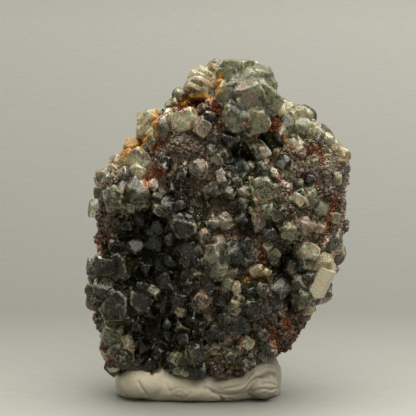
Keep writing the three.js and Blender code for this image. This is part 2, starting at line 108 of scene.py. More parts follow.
# Colours as they look in soft light, in sRGB from 0 to 255
TINTS = {
    "pale": (192, 190, 158),
    "green": (136, 139, 106),
    "olive": (86, 82, 45),
    # dark is the colour of dark fluorite and also carries painted shade where it fills the hollows and
    # pits
    "dark": (33, 31, 10),
    "grey": (82, 84, 64),
    "white": (204, 198, 172),
    "cream": (188, 173, 137),
    "pink": (158, 138, 122),
    "tan": (136, 129, 111),
    "amber": (198, 148, 58),
    "blue": (70, 78, 70),
    "plum": (90, 77, 66),
    "mauve": (122, 106, 100),
    "rust": (128, 68, 30),
}

# The glass that each tint grows in
GLASS_OF = {
    "pale": "clear", "white": "clear", "cream": "clear",
    "pink": "lilac", "tan": "lilac", "plum": "lilac", "mauve": "lilac",
    "green": "green", "olive": "green",
    "grey": "smoky", "dark": "smoky", "blue": "smoky",
    "amber": "amber", "rust": "amber",
}

# Crystals that show in the picture: column, row, width in mm, how far the middle stands out, tint
CRYSTALS = [
    # top knob
    (240, 76, 7.6, 0.2, "green"), (256, 81, 6.4, 0.2, "green"), (264, 97, 6.8, 0, "green"),
    (231, 94, 5.6, 0.8, "olive"), (248, 96, 6, 0.7, "green"), (229, 74, 5, 0.2, "green"),
    (238, 115, 6.6, 0.5, "green"), (256, 119, 6.4, 0.7, "green"), (267, 110, 4.4, 0.3, "grey"),
    (243, 128, 4.4, 0.4, "olive"),
    # pale shelf at the upper left
    (200, 80, 5, 0, "white"), (212, 72, 3.8, -0.4, "white"), (192, 90, 3.6, 0, "cream"),
    (206, 92, 3.4, 0.4, "white"), (213, 102, 3.6, 0, "cream"), (218, 84, 3, 0, "amber"),
    (181, 95, 3.6, 0, "tan"), (173, 104, 3, 0, "pale"), (204, 109, 3, 0.2, "dark"),
    # left shoulder
    (148, 119, 4.6, 0.2, "pale"), (145, 132, 4, 0.6, "pale"), (163, 129, 4.6, 0.8, "olive"),
    (186, 120, 5.4, 0.8, "pale"), (168, 115, 3, 0.2, "white"), (133, 146, 3.4, 0.2, "amber"),
    (135, 162, 5.2, 0.6, "pale"), (117, 164, 4, 0.2, "tan"), (139, 174, 3.8, 0.8, "pale"),
    (104, 176, 3.4, 0, "tan"), (112, 186, 4.8, 0.6, "plum"), (115, 199, 4.8, 1.2, "green"),
    (138, 190, 4.8, 1.4, "green"), (143, 201, 4, 0.8, "olive"), (150, 150, 3.2, 0.2, "plum"),
    # the dark slab and its lower edge
    (203, 130, 3.6, 0.4, "pink"), (176, 147, 3.6, 0, "plum"), (192, 150, 3.4, 0, "plum"),
    (166, 163, 3.4, 0, "dark"), (199, 168, 3.8, 0.8, "pink"), (182, 174, 3.4, 0, "dark"),
    (213, 142, 3.2, 0.2, "dark"), (230, 139, 4.2, 0.4, "dark"), (212, 118, 3.2, 0, "dark"),
    # right shoulder
    (275, 127, 3.4, 0.4, "rust"), (288, 109, 3.4, 0.2, "pale"), (304, 114, 3, 0.2, "white"),
    (300, 128, 4.6, 0.5, "green"), (286, 124, 3.6, 0.2, "olive"), (317, 138, 3.8, 0.2, "green"),
    (326, 140, 3, 0.2, "pale"), (335, 147, 3.4, 0.3, "pale"), (340, 156, 3.6, 0.2, "cream"),
    (310, 148, 3.4, 0.3, "plum"), (344, 169, 2.8, 0, "tan"), (299, 148, 2.6, 0.6, "white"),
    (290, 145, 3.2, 0.2, "pink"),
    # middle, upper
    (253, 149, 3, 0.8, "grey"), (262, 155, 3.6, 1, "tan"), (261, 168, 3.4, 1.4, "grey"),
    (251, 167, 2.2, 1, "white"), (283, 163, 3.2, 0.4, "grey"), (287, 153, 3.2, 0.2, "plum"),
    (222, 179, 3, 1.6, "tan"), (214, 189, 3.4, 1.6, "tan"), (229, 190, 2.6, 1.2, "tan"),
    (236, 182, 3, 0.8, "grey"), (225, 153, 2.8, 0.6, "tan"), (217, 160, 3, 0.6, "tan"),
    (275, 175, 2.8, 0.4, "grey"),
    # right of the middle
    (262, 191, 5.4, 1, "green"), (265, 209, 4, 1.4, "green"), (243, 204, 3.4, 1, "grey"),
    (243, 217, 3.4, 1.2, "grey"), (246, 193, 2.8, 0.8, "pink"), (278, 214, 3.2, 0.6, "olive"),
    (297, 186, 3, 0.8, "grey"), (296, 200, 3.2, 0.8, "pale"), (310, 198, 4, 0.4, "green"),
    (310, 181, 3, 0, "dark"), (281, 196, 3, 0.2, "plum"), (289, 232, 4.2, 1.6, "green"),
    (304, 226, 4, 0.8, "pink"), (308, 251, 4, 1, "white"), (306, 262, 4, 0.4, "grey"),
    (294, 269, 3.6, 0.4, "tan"), (307, 277, 3.8, 0, "olive"), (322, 262, 4.2, 0.4, "cream"),
    (301, 297, 4.6, 0.8, "green"), (279, 289, 4, 1, "grey"), (266, 272, 2.2, 1.2, "cream"),
    (257, 271, 2.8, 0.6, "cream"), (273, 255, 3.4, 0.4, "green"), (268, 247, 2.8, 0.2, "green"),
    (271, 231, 3.8, 0.2, "dark"), (255, 229, 3.6, 0.2, "dark"), (252, 256, 3.2, 0, "plum"),
    # right flank
    (322, 172, 3, 0, "plum"), (336, 178, 3.2, 0, "tan"), (328, 192, 3.4, 0.2, "plum"),
    (337, 201, 3, 0, "plum"), (320, 208, 3.4, 0.2, "green"), (334, 218, 3.2, 0.2, "tan"),
    (320, 228, 3, 0.2, "pink"), (336, 238, 3.2, 0.2, "tan"), (326, 243, 3.2, 0.2, "olive"),
    (290, 212, 3.2, 0.2, "plum"),
    # the buttress in the middle
    (185, 226, 6.6, 1, "grey"), (188, 248, 4.4, 1, "grey"), (213, 222, 2.8, 1.2, "tan"),
    (224, 222, 3, 2, "tan"), (203, 236, 3, 0.6, "pink"), (219, 242, 3, 1.2, "pink"),
    (213, 256, 3.8, 1, "tan"), (201, 262, 3, 0.4, "grey"), (237, 254, 5.6, 0.2, "blue"),
    (219, 272, 4, 1, "green"), (229, 284, 3.4, 0.8, "green"), (182, 206, 3.4, 0.2, "dark"),
    (165, 205, 3, 0, "grey"), (190, 192, 3, 0, "dark"), (172, 189, 3.2, 0, "dark"),
    # the large hollow
    (126, 267, 5.8, 0.4, "olive"), (155, 242, 4, 0, "dark"), (170, 262, 3.6, 0, "dark"),
    (154, 291, 2.8, 0.2, "olive"), (178, 298, 4.2, 0.2, "dark"), (148, 312, 4.4, 0, "dark"),
    (195, 320, 4.4, 0, "dark"), (168, 325, 4, 0, "dark"), (160, 350, 4.2, 0, "dark"),
    (128, 226, 3.6, 0, "dark"), (146, 268, 4, 0, "dark"), (190, 284, 3, 0, "dark"),
    (112, 222, 3.2, 0.2, "plum"), (150, 214, 3, 0, "dark"), (184, 340, 3.6, 0, "dark"),
    (134, 248, 4.6, 0, "dark"), (141, 289, 4.6, 0.2, "dark"), (164, 280, 4, 0, "dark"),
    (136, 328, 4.2, 0, "dark"), (141, 347, 4.2, 0.2, "dark"), (150, 366, 4, 0, "dark"),
    (158, 226, 3.6, 0, "dark"), (117, 246, 3.8, 0, "dark"), (172, 240, 3.6, 0, "dark"),
    # left edge
    (102, 217, 2.8, 0, "plum"), (101, 239, 3, 0, "plum"), (96, 270, 3.4, 0, "olive"),
    (104, 286, 4, 0.2, "olive"), (93, 289, 2.8, 0, "olive"), (121, 309, 7, 0.8, "grey"),
    (100, 318, 3.2, 0, "plum"), (112, 334, 4.2, 0.6, "green"), (128, 344, 3.2, 0.6, "pale"),
    (124, 359, 4.4, 0.6, "olive"), (106, 346, 3, 0, "plum"), (114, 362, 3, 0, "plum"),
    # below the middle
    (203, 300, 4.2, 0.6, "pink"), (213, 287, 2.8, 0.6, "grey"), (236, 287, 2.2, 1.2, "white"),
    (235, 304, 3, 1.2, "cream"), (252, 309, 4.6, 0.8, "grey"), (262, 290, 3.8, 0.4, "grey"),
    (181, 311, 2.2, 0.8, "white"), (222, 318, 3.8, 0, "dark"), (235, 328, 4, 0, "olive"),
    (213, 330, 3.2, 0, "dark"),
    # foot
    (195, 353, 4.8, 0.8, "olive"), (176, 357, 2.8, 0.8, "pale"), (181, 370, 3.4, 0.4, "pale"),
    (199, 369, 3.8, 0.4, "dark"), (212, 349, 2.6, 1, "cream"), (229, 355, 3, 1, "grey"),
    (222, 368, 4.4, 0.2, "plum"), (247, 342, 3.2, 0.8, "pale"), (251, 358, 3, 0.6, "grey"),
    (262, 334, 3.6, 0.4, "grey"), (268, 347, 3.6, 0.2, "blue"), (238, 348, 2.8, 0.2, "olive"),
    (240, 370, 3, 0.2, "plum"),
    # lower right edge
    (285, 330, 4, 0.2, "plum"), (285, 345, 3, 0, "plum"), (299, 322, 3.2, 0, "plum"),
    (277, 317, 3.8, 0.2, "plum"), (309, 308, 3, 0, "pale"),
]

# The blocky quartz crystals at the right edge: root column and row, tip column and row, width in mm
QUARTZ_PRISMS = [(326, 267, 309, 301, 4.5), (322, 258, 331, 271, 3.2)]

# Long crystals lying on the others: column and row of both ends, width in mm, tint
LONG_CRYSTALS = [
    (206, 193, 219, 184, 2.8, "tan"), (219, 171, 227, 184, 2.4, "pink"),
    (224, 187, 234, 195, 2.3, "tan"), (256, 146, 267, 159, 3.2, "tan"),
    (249, 164, 254, 171, 2.0, "white"), (214, 246, 219, 267, 3.6, "tan"),
    (240, 296, 232, 313, 2.5, "cream"), (301, 247, 315, 255, 3.2, "white"),
    (220, 217, 228, 227, 3.6, "pink"), (251, 274, 260, 268, 2.2, "tan"),
    (173, 356, 181, 361, 2.6, "pale"), (216, 345, 204, 353, 2.2, "cream"),
    (235, 283, 237, 292, 2.2, "white"), (193, 168, 206, 172, 3.0, "pink"),
    (206, 124, 199, 134, 3.0, "pink"), (176, 296, 186, 300, 3.0, "dark"),
    (299, 192, 305, 206, 2.8, "grey"), (243, 340, 250, 345, 2.6, "pale"),
    (126, 344, 133, 348, 2.4, "cream"), (280, 168, 287, 160, 2.6, "grey"),
    (150, 289, 157, 294, 2.4, "tan"), (178, 309, 184, 313, 2.2, "cream"),
    (261, 226, 257, 214, 2.2, "pink"), (290, 118, 302, 115, 2.8, "cream"),
]

# Plates of the pale shelf, from the bottom up: column and row of the middle, length and
# thickness in mm, tilt of the plate in degrees
SHELF_PLATES = [
    (205, 98, 6.4, 1.0, -14), (202, 92, 7.2, 0.9, -24), (203, 86, 7.4, 1.0, -30),
    (203, 80, 6.6, 0.9, -34), (207, 74, 6.0, 1.1, -38), (192, 93, 4.6, 0.8, -40),
    (213, 70, 4.6, 1.2, -30),
]

# Crystals that wrap round the flanks and thin out over the back: their number and widths, the
# latitude of the first on the scale from 1 in front to -1 behind, how far they go towards the
# back's middle, and how deep they sit, as a share of their width
FLANK_COUNT = 44
FLANK_WIDTHS = (3.4, 6.2)
FLANK_SEED = 11
FLANK_STREAMS = 1000
FLANK_FIRST = 0.04
FLANK_REACH = 0.8
FLANK_THINNING = 1.3
FLANK_SINK = 0.1
GOLDEN_ANGLE = 2.39996

# Narrower crystals than the first of these are cubes, and wider ones than the second cut cubes
SMALL_CRYSTAL = 3.3
WIDE_CRYSTAL = 5.2

# Looks of the growth round the large crystals: column, row, reach in pixels, how far the dull
# matrix lies under it in mm, how clouded it is from 0 to 1, and its tints
ZONES = [
    (250, 95, 22, 0.9, 0.6, ("green", "pale", "green", "pale", "green", "pale")),
    (200, 84, 13, 0.5, 0.7, ("white", "white", "cream", "white")),
    (198, 102, 9, 2.5, 0.8, ("rust", "amber", "dark", "rust")),
    (145, 128, 13, 1.2, 0.5, ("pale", "pale", "white", "pale")),
    (134, 145, 8, 2.0, 0.3, ("amber", "cream", "amber")),
    (118, 168, 13, 0.9, 0.5, ("cream", "pale", "pink", "pale")),
    (125, 192, 14, 0.7, 0.3, ("grey", "pale", "plum", "dark")),
    (178, 150, 19, 0.2, 0.9, ("plum", "dark", "mauve", "plum", "pink", "tan")),
    (205, 166, 10, 0.5, 0.5, ("pink", "tan", "plum", "grey")),
    (222, 186, 12, 0.5, 0.3, ("tan", "grey", "pink", "grey")),
    (240, 162, 10, 2.4, 0.4, ("dark", "olive", "grey")),
    (270, 141, 8, 3.0, 0.4, ("dark", "olive", "dark")),
    (300, 122, 16, 0.7, 0.5, ("pale", "green", "pale", "tan")),
    (320, 145, 14, 0.6, 0.7, ("pink", "pale", "tan", "plum")),
    (330, 190, 26, 0.2, 0.9, ("plum", "mauve", "tan", "plum", "mauve", "grey")),
    (265, 198, 16, 0.6, 0.3, ("green", "pale", "green", "pale")),
    (325, 246, 18, 0.6, 0.6, ("tan", "cream", "plum", "olive")),
    (285, 265, 12, 3.0, 0.4, ("olive", "dark", "olive")),
    (287, 304, 8, 3.0, 0.4, ("dark", "olive")),
    (188, 232, 16, 0.7, 0.3, ("grey", "olive", "dark", "tan")),
    (212, 250, 12, 0.4, 0.7, ("pink", "tan", "plum", "grey")),
    # The large hollow: its dark tints hold painted shade as well as the fluorite's own dark colour
    (150, 255, 32, 2.0, 0.1, ("dark", "olive", "dark", "dark")),
    (150, 335, 30, 2.2, 0.1, ("dark", "olive", "dark", "dark")),
    (100, 220, 14, 0.3, 0.9, ("plum", "dark", "mauve", "dark")),
    (115, 340, 12, 1.0, 0.4, ("grey", "pale", "green", "plum")),
    (190, 360, 13, 1.2, 0.3, ("olive", "dark", "green", "dark")),
    (230, 360, 12, 0.5, 0.7, ("plum", "tan", "olive")),
    (285, 335, 18, 0.3, 0.9, ("plum", "rust", "mauve", "dark", "plum")),
    (245, 310, 18, 0.7, 0.4, ("grey", "dark", "olive", "dark")),
    (240, 255, 12, 0.7, 0.3, ("blue", "grey", "dark")),
    (262, 272, 9, 0.8, 0.6, ("plum", "tan", "rust", "grey")),
]
*_, ZONE_SINKS, ZONE_CLOUDS, ZONE_TINTS = (list(values) for values in zip(*ZONES))

# The back, in patches: its matrix, the least and most cloudiness, and its tints
BACK_SINK = 0.6
BACK_CLOUDS = (0.25, 0.9)
BACK_TINTS = ("plum", "tan", "mauve", "grey", "plum", "olive", "pink")

# Patterns over the crystals and the rock: size of the lumps in mm, seed and octaves
PATTERNS = {
    "zone edge across": (4, 3, 3),
    "zone edge down": (4, 7, 3),
    "back edge": (3, 5, 3),
    "zone tint": (1.5, 11, 3),
    "back tint": (7.0, 13, 2),
    "back cloud": (7.0, 15, 2),
    "patch": (1.3, 21, 3),
    "mottle": (1.4, 31, 2),
    "rock mottle": (0.8, 33, 3),
    "veil": (1.6, 41, 3),
    "stain edge": (0.6, 51, 4),
    "stain mottle": (0.5, 53, 2),
    "etching": (1.1, 61, 2),
    "rim highlight breaks": (1.8, 71, 2),
    "lean across": (5.0, 81, 1),
    "lean along": (5.0, 83, 1),
    "lean up": (5.0, 85, 1),
    "spin": (7.0, 87, 1),
}
# Seeds of the draws that depend on the place alone, how finely they tell places apart, and how far
# the patterns are moved off the origin
ZONE_DRAW = 91
TINT_DRAW = 93
PATCHY_DRAW = 95
THINNING_DRAW = 97
CELLS_PER_MM = 50
SPOTS_PER_MM = 1000
PATTERN_SHIFT = 500.5

# Nothing grows below this height, and nothing on the front below the putty's crest
PUTTY_LINE = 2.5

# The putty's main roll: its ends and width, and the height of its crest from left to right
PUTTY_LEFT = -17.0
PUTTY_RIGHT = 16.2
PUTTY_MIDDLE_Y = -4.0
PUTTY_HALF_DEPTH = 10.8
PUTTY_CREST = [
    (-17, 3), (-15, 5.2), (-12.5, 6.8), (-9, 7.1), (-5, 6.2), (-1, 5.6), (3, 6.1),
    (7, 6.2), (10, 7.8), (13, 8.8), (15, 7.6), (16.2, 5),
]

# Its steps along and round, how square its section and how blunt its ends are, the height of its
# widest line and what the crest adds, as shares of the crest's, and the height of its two ends
PUTTY_STEPS = 60
PUTTY_SECTION = 64
PUTTY_SQUARENESS = 0.75
PUTTY_TAPER = 0.36
PUTTY_BELLY = (0.42, 0.58)
PUTTY_POLE = 1.2

# The thin roll folded over its front, and the lobes: middles and half sizes
FOLD_RADIUS = 1.55
FOLD_STEPS = 48
FOLD_SECTION = 24
FOLD_TAPER = 0.4
FOLD_PATH = [
    (1.2, -12.6, 2.6), (3.4, -13.6, 3.5), (6, -13.7, 3.5), (8.6, -13.5, 3.9),
    (10.3, -13.1, 5.4), (12.2, -12.4, 6.5), (14, -11.4, 6.3), (15, -10.6, 4.6),
]
LOBE_SUBDIVISIONS = 4
LOBES = [
    ((12.4, -11.2, 3.0), (3.2, 3.4, 2.6)),
    ((-1.5, -12, 2.3), (5.2, 3.3, 2.2)),
    ((-10.5, -10.2, 3.6), (5.8, 4.6, 3.4)),
]


# Numbers and vectors

def stream(seed):
    """A repeatable stream of numbers from 0 to 1 (mulberry32), the one that the solids use."""
    mask = 0xFFFFFFFF
    state = seed & mask
    while True:
        state = (state + 0x6D2B79F5) & mask
        t = ((state ^ (state >> 15)) * (1 | state)) & mask
        t = ((t + (((t ^ (t >> 7)) * (61 | t)) & mask)) & mask) ^ t
        yield ((t ^ (t >> 14)) & mask) / 4294967296


def linear(tint):
    """A tint's colour as linear light."""
    share = np.array(TINTS[tint]) / 255
    return np.where(share <= 0.04045, share / 12.92, ((share + 0.055) / 1.055) ** 2.4)


def smoothstep(x, low, high):
    """0 at the first limit, 1 at the second, and smooth between them, whichever is larger."""
    t = np.clip((x - low) / (high - low), 0, 1)
    return t * t * (3 - 2 * t)


def between(limits, share):
    """The value at a share of the way between two limits."""
    low, high = limits
    return low + (high - low) * share


def unit(vectors):
    return vectors / np.linalg.norm(vectors, axis=-1, keepdims=True)


def lattice(cells, seed):
    """A repeatable random value from 0 to 1 for each cell of space."""
    x, y, z = (cells[:, i].astype(np.uint32) for i in range(3))
    mixed = x * np.uint32(374761393) + y * np.uint32(668265263) + z * np.uint32(2246822519)
    mixed = mixed + np.uint32(seed * 977)
    mixed = (mixed ^ (mixed >> np.uint32(13))) * np.uint32(1274126177)
    return ((mixed ^ (mixed >> np.uint32(16))) & np.uint32(0xFFFFFF)) / 0xFFFFFF


def chance(points, seed):
    """A repeatable random value from 0 to 1 for each point, whatever the other points are."""
    return lattice(np.floor(points * CELLS_PER_MM).astype(np.int64), seed)


def pattern(points, name):
    """Smooth random values from 0 to 1 over space, in the lumps of one of the patterns."""
    size, seed, octaves = PATTERNS[name]
    total = np.zeros(len(points))
    whole = 0
    for octave in range(octaves):
        at = points * (2 ** octave / size) + PATTERN_SHIFT
        base = np.floor(at).astype(np.int64)
        t = at - base
        t = t * t * (3 - 2 * t)
        for corner in np.ndindex(2, 2, 2):
            share = np.prod(np.where(np.array(corner) == 1, t, 1 - t), axis=1)
            total += 0.5 ** octave * share * lattice(base + np.array(corner), seed + octave)
        whole += 0.5 ** octave
    return total / whole


def random_turns(rng, count):
    """Uniformly random rotation matrices."""
    w, x, y, z = unit(rng.normal(size=(count, 4))).T
    return np.stack([
        np.stack([1 - 2 * (y * y + z * z), 2 * (x * y - z * w), 2 * (x * z + y * w)], -1),
        np.stack([2 * (x * y + z * w), 1 - 2 * (x * x + z * z), 2 * (y * z - x * w)], -1),
        np.stack([2 * (x * z - y * w), 2 * (y * z + x * w), 1 - 2 * (x * x + y * y)], -1),
    ], -2)


def euler_turn(x, y, z):
    """The matrix Rx Ry Rz."""
    turns = [Matrix.Rotation(angle, 3, axis) for angle, axis in zip((x, y, z), "XYZ")]
    return np.array(turns[0] @ turns[1] @ turns[2])


def aim_turn(direction, spin=0.0):
    """A rotation that takes +z to a direction, after a spin about it."""
    turn = Vector((0, 0, 1)).rotation_difference(Vector(direction)).to_matrix()
    return np.array(turn @ Matrix.Rotation(spin, 3, "Z"))


# The rock's own shape, the same as the solid's

def from_picture(column, row, depth=0.0):
    """The points under pixels of the picture, at a depth towards the viewer."""
    column, row, depth = np.broadcast_arrays(column, row, depth)
    scale = MM_PER_PIXEL * (1 - depth / VIEW_DISTANCE)
    return np.stack([(column - PICTURE_MIDDLE) * scale, -depth, (PICTURE_MIDDLE - row) * scale], -1)


def to_picture(points):
    """The columns and rows of the pixels over points."""
    scale = MM_PER_PIXEL * (1 + points[:, 1] / VIEW_DISTANCE)
    return PICTURE_MIDDLE + points[:, 0] / scale, PICTURE_MIDDLE - points[:, 2] / scale


HEART_POINT = from_picture(*HEART)
CORNERS = from_picture(*np.array(OUTLINE, float).T)[:, [0, 2]] - HEART_POINT[[0, 2]]
EDGES = np.roll(CORNERS, -1, axis=0) - CORNERS


def cross(a, b):
    return a[..., 0] * b[..., 1] - a[..., 1] * b[..., 0]


def outline_reach(angle):
    """Distance from the heart to the outline, in the direction of an angle of the front plane."""
    aim = np.stack([np.cos(angle), np.sin(angle)], -1)[:, None]
    across = cross(aim, EDGES[None])
    across = np.where(np.abs(across) < PARALLEL, PARALLEL, across)
    along = cross(CORNERS, EDGES)[None] / across
    share = cross(CORNERS[None], aim) / across
    return np.where((share >= 0) & (share <= 1), along, 0).max(axis=1)


def relief(x, z):
    """The swells and hollows of the front."""
    total = np.zeros_like(x)
    for column, row, reach, height in RELIEF:
        centre = from_picture(column, row)
        far = ((x - centre[0]) ** 2 + (z - centre[2]) ** 2) / (reach * MM_PER_PIXEL) ** 2
        total += height * np.exp(-far / 2)
    return total


def waves(x, z):
    """The uneven surface of the back."""
    return sum(height * np.sin(across * x + up * z + start) for across, up, start, height in WAVES)


def depth_at(x, z, latitude):
    """How far the surface stands out towards the viewer."""
    rise = np.abs(np.sin(latitude * math.pi / 2))
    front = latitude > 0
    bulge = np.where(front, FRONT_BULGE, -BACK_BULGE) * rise ** EDGE_DEPTH
    shape = np.where(front, relief(x, z), -waves(x, z))
    return bulge + smoothstep(rise, 0, FADE_RISE) * shape


def rock_point(angle, latitude):
    """The surface at an angle round the heart and a latitude from 1 in front to -1 behind."""
    across = outline_reach(angle) * np.maximum(np.cos(latitude * math.pi / 2), 0) ** EDGE_ACROSS
    x = HEART_POINT[0] + across * np.cos(angle)
    z = HEART_POINT[2] + across * np.sin(angle)
    return np.stack([x, -depth_at(x, z, latitude), z], -1)


def rock_normal(angle, latitude):
    """The direction straight out of the surface there."""
    at = np.clip(latitude, -LATITUDE_LIMIT, LATITUDE_LIMIT)
    across = rock_point(angle + NORMAL_STEP, at) - rock_point(angle - NORMAL_STEP, at)
    along = rock_point(angle, at + NORMAL_STEP) - rock_point(angle, at - NORMAL_STEP)
    return unit(-np.cross(along, across))


def front_point(column, row, out=0.0):
    """The place on the rock's front under a pixel of the picture, or one that stands out of it."""
    point = from_picture(float(column), float(row), FRONT_BULGE)
    for _ in range(PLACING_PASSES):
        right = point[0] - HEART_POINT[0]
        up = point[2] - HEART_POINT[2]
        share = math.hypot(right, up) / outline_reach(np.array([math.atan2(up, right)]))[0]
        latitude = math.acos(min(share, EDGE_LIMIT) ** (1 / EDGE_ACROSS)) * 2 / math.pi
        depth = depth_at(np.array([point[0]]), np.array([point[2]]), np.array([latitude]))[0]
        point = from_picture(float(column), float(row), depth)
    return point - np.array([0, out, 0])


# Meshes

LEAN_TURN = np.array(Matrix.Rotation(-LEAN, 3, "X"))


def to_frame(points):
    """Points of the leaning frame, in the shared frame and in metres."""
    return (points @ LEAN_TURN.T + ROCK_CENTRE) * MM


def to_leaning(points):
    """The other way round, from millimetres of the shared frame."""
    return (points - ROCK_CENTRE) @ LEAN_TURN


class Heap:
    """Closed shapes gathered into one mesh, with a tint and a cloudiness on each point."""

    def __init__(self):
        self.points = []
        self.faces = []
        self.colours = []
        self.count = 0

    def add(self, points, faces, colour=(0, 0, 0), cloud=0.0):
        self.points.append(points)
        self.faces.append(faces + self.count)
        self.colours.append(np.broadcast_to((*colour, cloud), (len(points), 4)))
        self.count += len(points)

    def arrays(self):
        return np.concatenate(self.points), np.concatenate(self.faces), np.concatenate(self.colours)


def linked(name, data):
    """An object of some data, in the scene."""
    made = bpy.data.objects.new(name, data)
    bpy.context.scene.collection.objects.link(made)
    return made


def mesh_object(name, points, faces, colours=None, smooth=False):
    """An object of a mesh of triangles."""
    mesh = bpy.data.meshes.new(name)
    mesh.vertices.add(len(points))
    mesh.vertices.foreach_set("co", np.ascontiguousarray(points, np.float32).ravel())
    mesh.loops.add(3 * len(faces))
    mesh.loops.foreach_set("vertex_index", np.ascontiguousarray(faces, np.int32).ravel())
    mesh.polygons.add(len(faces))
    mesh.polygons.foreach_set("loop_start", np.arange(0, 3 * len(faces), 3, dtype=np.int32))
    mesh.polygons.foreach_set("use_smooth", np.full(len(faces), smooth))
    if colours is not None:
        layer = mesh.color_attributes.new("tint", "FLOAT_COLOR", "POINT")
        layer.data.foreach_set("color", np.ascontiguousarray(colours, np.float32).ravel())
    mesh.update(calc_edges=True)
    return linked(name, mesh)


def applied(piece, valued=False):
    """The piece's mesh with its modifiers applied: points, triangles and the value it carries."""
    graph = bpy.context.evaluated_depsgraph_get()
    seen = piece.evaluated_get(graph)
    mesh = seen.to_mesh()
    mesh.calc_loop_triangles()
    points = np.empty(len(mesh.vertices) * 3)
    mesh.vertices.foreach_get("co", points)
    faces = np.empty(len(mesh.loop_triangles) * 3, np.int32)
    mesh.loop_triangles.foreach_get("vertices", faces)
    values = np.empty(len(mesh.vertices) * 4)
    if valued:
        mesh.attributes["tint"].data.foreach_get("color", values)
    seen.to_mesh_clear()
    bpy.data.objects.remove(piece)
    found = (points.reshape(-1, 3), faces.reshape(-1, 3))
    return (*found, values[::4]) if valued else found


def gathered(faces, values, count):
    """For each point, the sum of a value of each corner of the faces, where that corner is it."""
    corners = faces.ravel()
    return np.stack([np.bincount(corners, values[:, i], count) for i in range(values.shape[1])], -1)


def vertex_normals(points, faces):
    """The direction straight out of a surface at each of its points."""
    a, b, c = (points[faces[:, i]] for i in range(3))
    crossed = np.repeat(np.cross(b - a, c - a), 3, axis=0)
    return unit(gathered(faces, crossed, len(points)) + 1e-12)


def sharpness(points, faces):
    """How much each point stands out from its neighbours, as a share of their distance."""
    corners = [points[faces[:, i]] for i in (0, 1, 2, 0, 1)]
    others = np.stack([corners[i + 1] + corners[i + 2] for i in range(3)], 1).reshape(-1, 3)
    spans = np.stack([np.linalg.norm(corners[i + 1] - corners[i], axis=1) for i in range(3)], 1)
    count = np.bincount(faces.ravel(), minlength=len(points))[:, None] + 1e-9
    middle = gathered(faces, others, len(points)) / (2 * count)
    span = gathered(faces, spans.reshape(-1, 1), len(points)) / count
    out = np.sum((points - middle) * vertex_normals(points, faces), axis=1, keepdims=True)
    out = out / (span + 1e-9)
    around = np.repeat(out[faces].sum(axis=1), 3, axis=0)
    return gathered(faces, around, len(points))[:, 0] / (3 * count[:, 0])


def dress(piece, material, node):
    """A piece's material, and which node of the solids it stands for."""
    piece.data.materials.append(material)
    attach(piece, "root")
    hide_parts(node)


def crystal_piece(name, heap, material, stain=False):
    """A heap made into a piece of the specimen, with the stains over it where it takes them."""
    points, faces, colours = heap.arrays()
    if stain:
        colours = stained(points, colours[:, :3], colours[:, 3])
    piece = mesh_object(name, to_frame(points), faces, colours)
    dress(piece, material, "fluorite_on_quartz")


def arrays_of(bm):
    """A bmesh's points and its faces as triangles."""
    bmesh.ops.triangulate(bm, faces=bm.faces)
    bm.verts.index_update()
    points = np.array([tuple(v.co) for v in bm.verts])
    faces = np.array([[v.index for v in f.verts] for f in bm.faces])
    return points, faces


def ball_shape(subdivisions):
    """A ball of triangles with a radius of 1."""
    bm = bmesh.new()
    bmesh.ops.create_icosphere(bm, subdivisions=subdivisions, radius=1)
    shape = arrays_of(bm)
    bm.free()
    return shape


def tree_of(points, faces):
    """The same surface, made ready for rays."""
    return BVHTree.FromPolygons(points.tolist(), faces.tolist())


# Crystal habits

def directions(kind):
    """Unit normals of a form of the cubic system: cube, octahedron or dodecahedron."""
    entries = {"cube": (1, 0, 0), "octahedron": (1, 1, 1), "dodecahedron": (1, 1, 0)}[kind]
    found = set()
    for order in ((0, 1, 2), (1, 2, 0), (2, 0, 1)):
        for signs in np.ndindex(2, 2, 2):
            found.add(tuple(entries[o] * (1 - 2 * s) for o, s in zip(order, signs)))
    return unit(np.array(sorted(found), float))


# Three planes nearer to one line than this don't make a corner; corners nearer than this are one,
# and faces that differ by less than this angle are one
LEAST_CORNER = 0.05
CORNER_WELD = 0.02
FLAT_ANGLE = math.radians(2)


def polyhedron(normals, distances, bevel, segments=1):
    """The solid inside a set of planes, with its edges worn by a bevel."""
    index = np.array(list(combinations(range(len(normals)), 3)))
    sides = normals[index]
    sound = np.abs(np.linalg.det(sides)) > LEAST_CORNER
    met = np.linalg.solve(sides[sound], distances[index[sound]][..., None])[..., 0]
    inside = (met @ normals.T <= distances + 1e-6).all(axis=1)
    bm = bmesh.new()
    for corner in met[inside]:
        bm.verts.new(corner)
    bmesh.ops.remove_doubles(bm, verts=bm.verts, dist=CORNER_WELD)
    made = bmesh.ops.convex_hull(bm, input=bm.verts)
    spare = made["geom_interior"] + made["geom_unused"]
    loose = [part for part in spare if isinstance(part, bmesh.types.BMVert)]
    bmesh.ops.delete(bm, geom=loose, context="VERTS")
    bmesh.ops.dissolve_limit(bm, angle_limit=FLAT_ANGLE, verts=bm.verts, edges=bm.edges)
    if bevel:
        bmesh.ops.bevel(
            bm, geom=list(bm.edges), offset=bevel, offset_type="OFFSET", segments=segments,
            profile=0.5, affect="EDGES", clamp_overlap=True,
        )
    shape = arrays_of(bm)
    bm.free()
    return shape


# Distances of the cube, octahedron and dodecahedron faces for each habit, for a mean radius of 1
HABITS = {
    "cut cube": (0.81, 1.13, 1.12),
    "cuboctahedron": (0.81, 0.96, 1.06),
    "cube": (0.74, 1.12, 1.0),
}

# How many shapes a habit has and how much their faces' distances vary; how far out broken faces
# lie; how much a crystal is stretched; the wear of plain ones, and the broken corners of others
HABIT_VARIANTS = 9
HABIT_SPREAD = 0.07
BROKEN_REACH = (0.6, 0.95)
LEAST_STRETCH = 0.9
STRETCH_SPREAD = 0.2
PLAIN_BEVEL = 0.03
BROKEN_CORNERS = 5


def one_of(rng, choices):
    return choices[rng.integers(len(choices))]


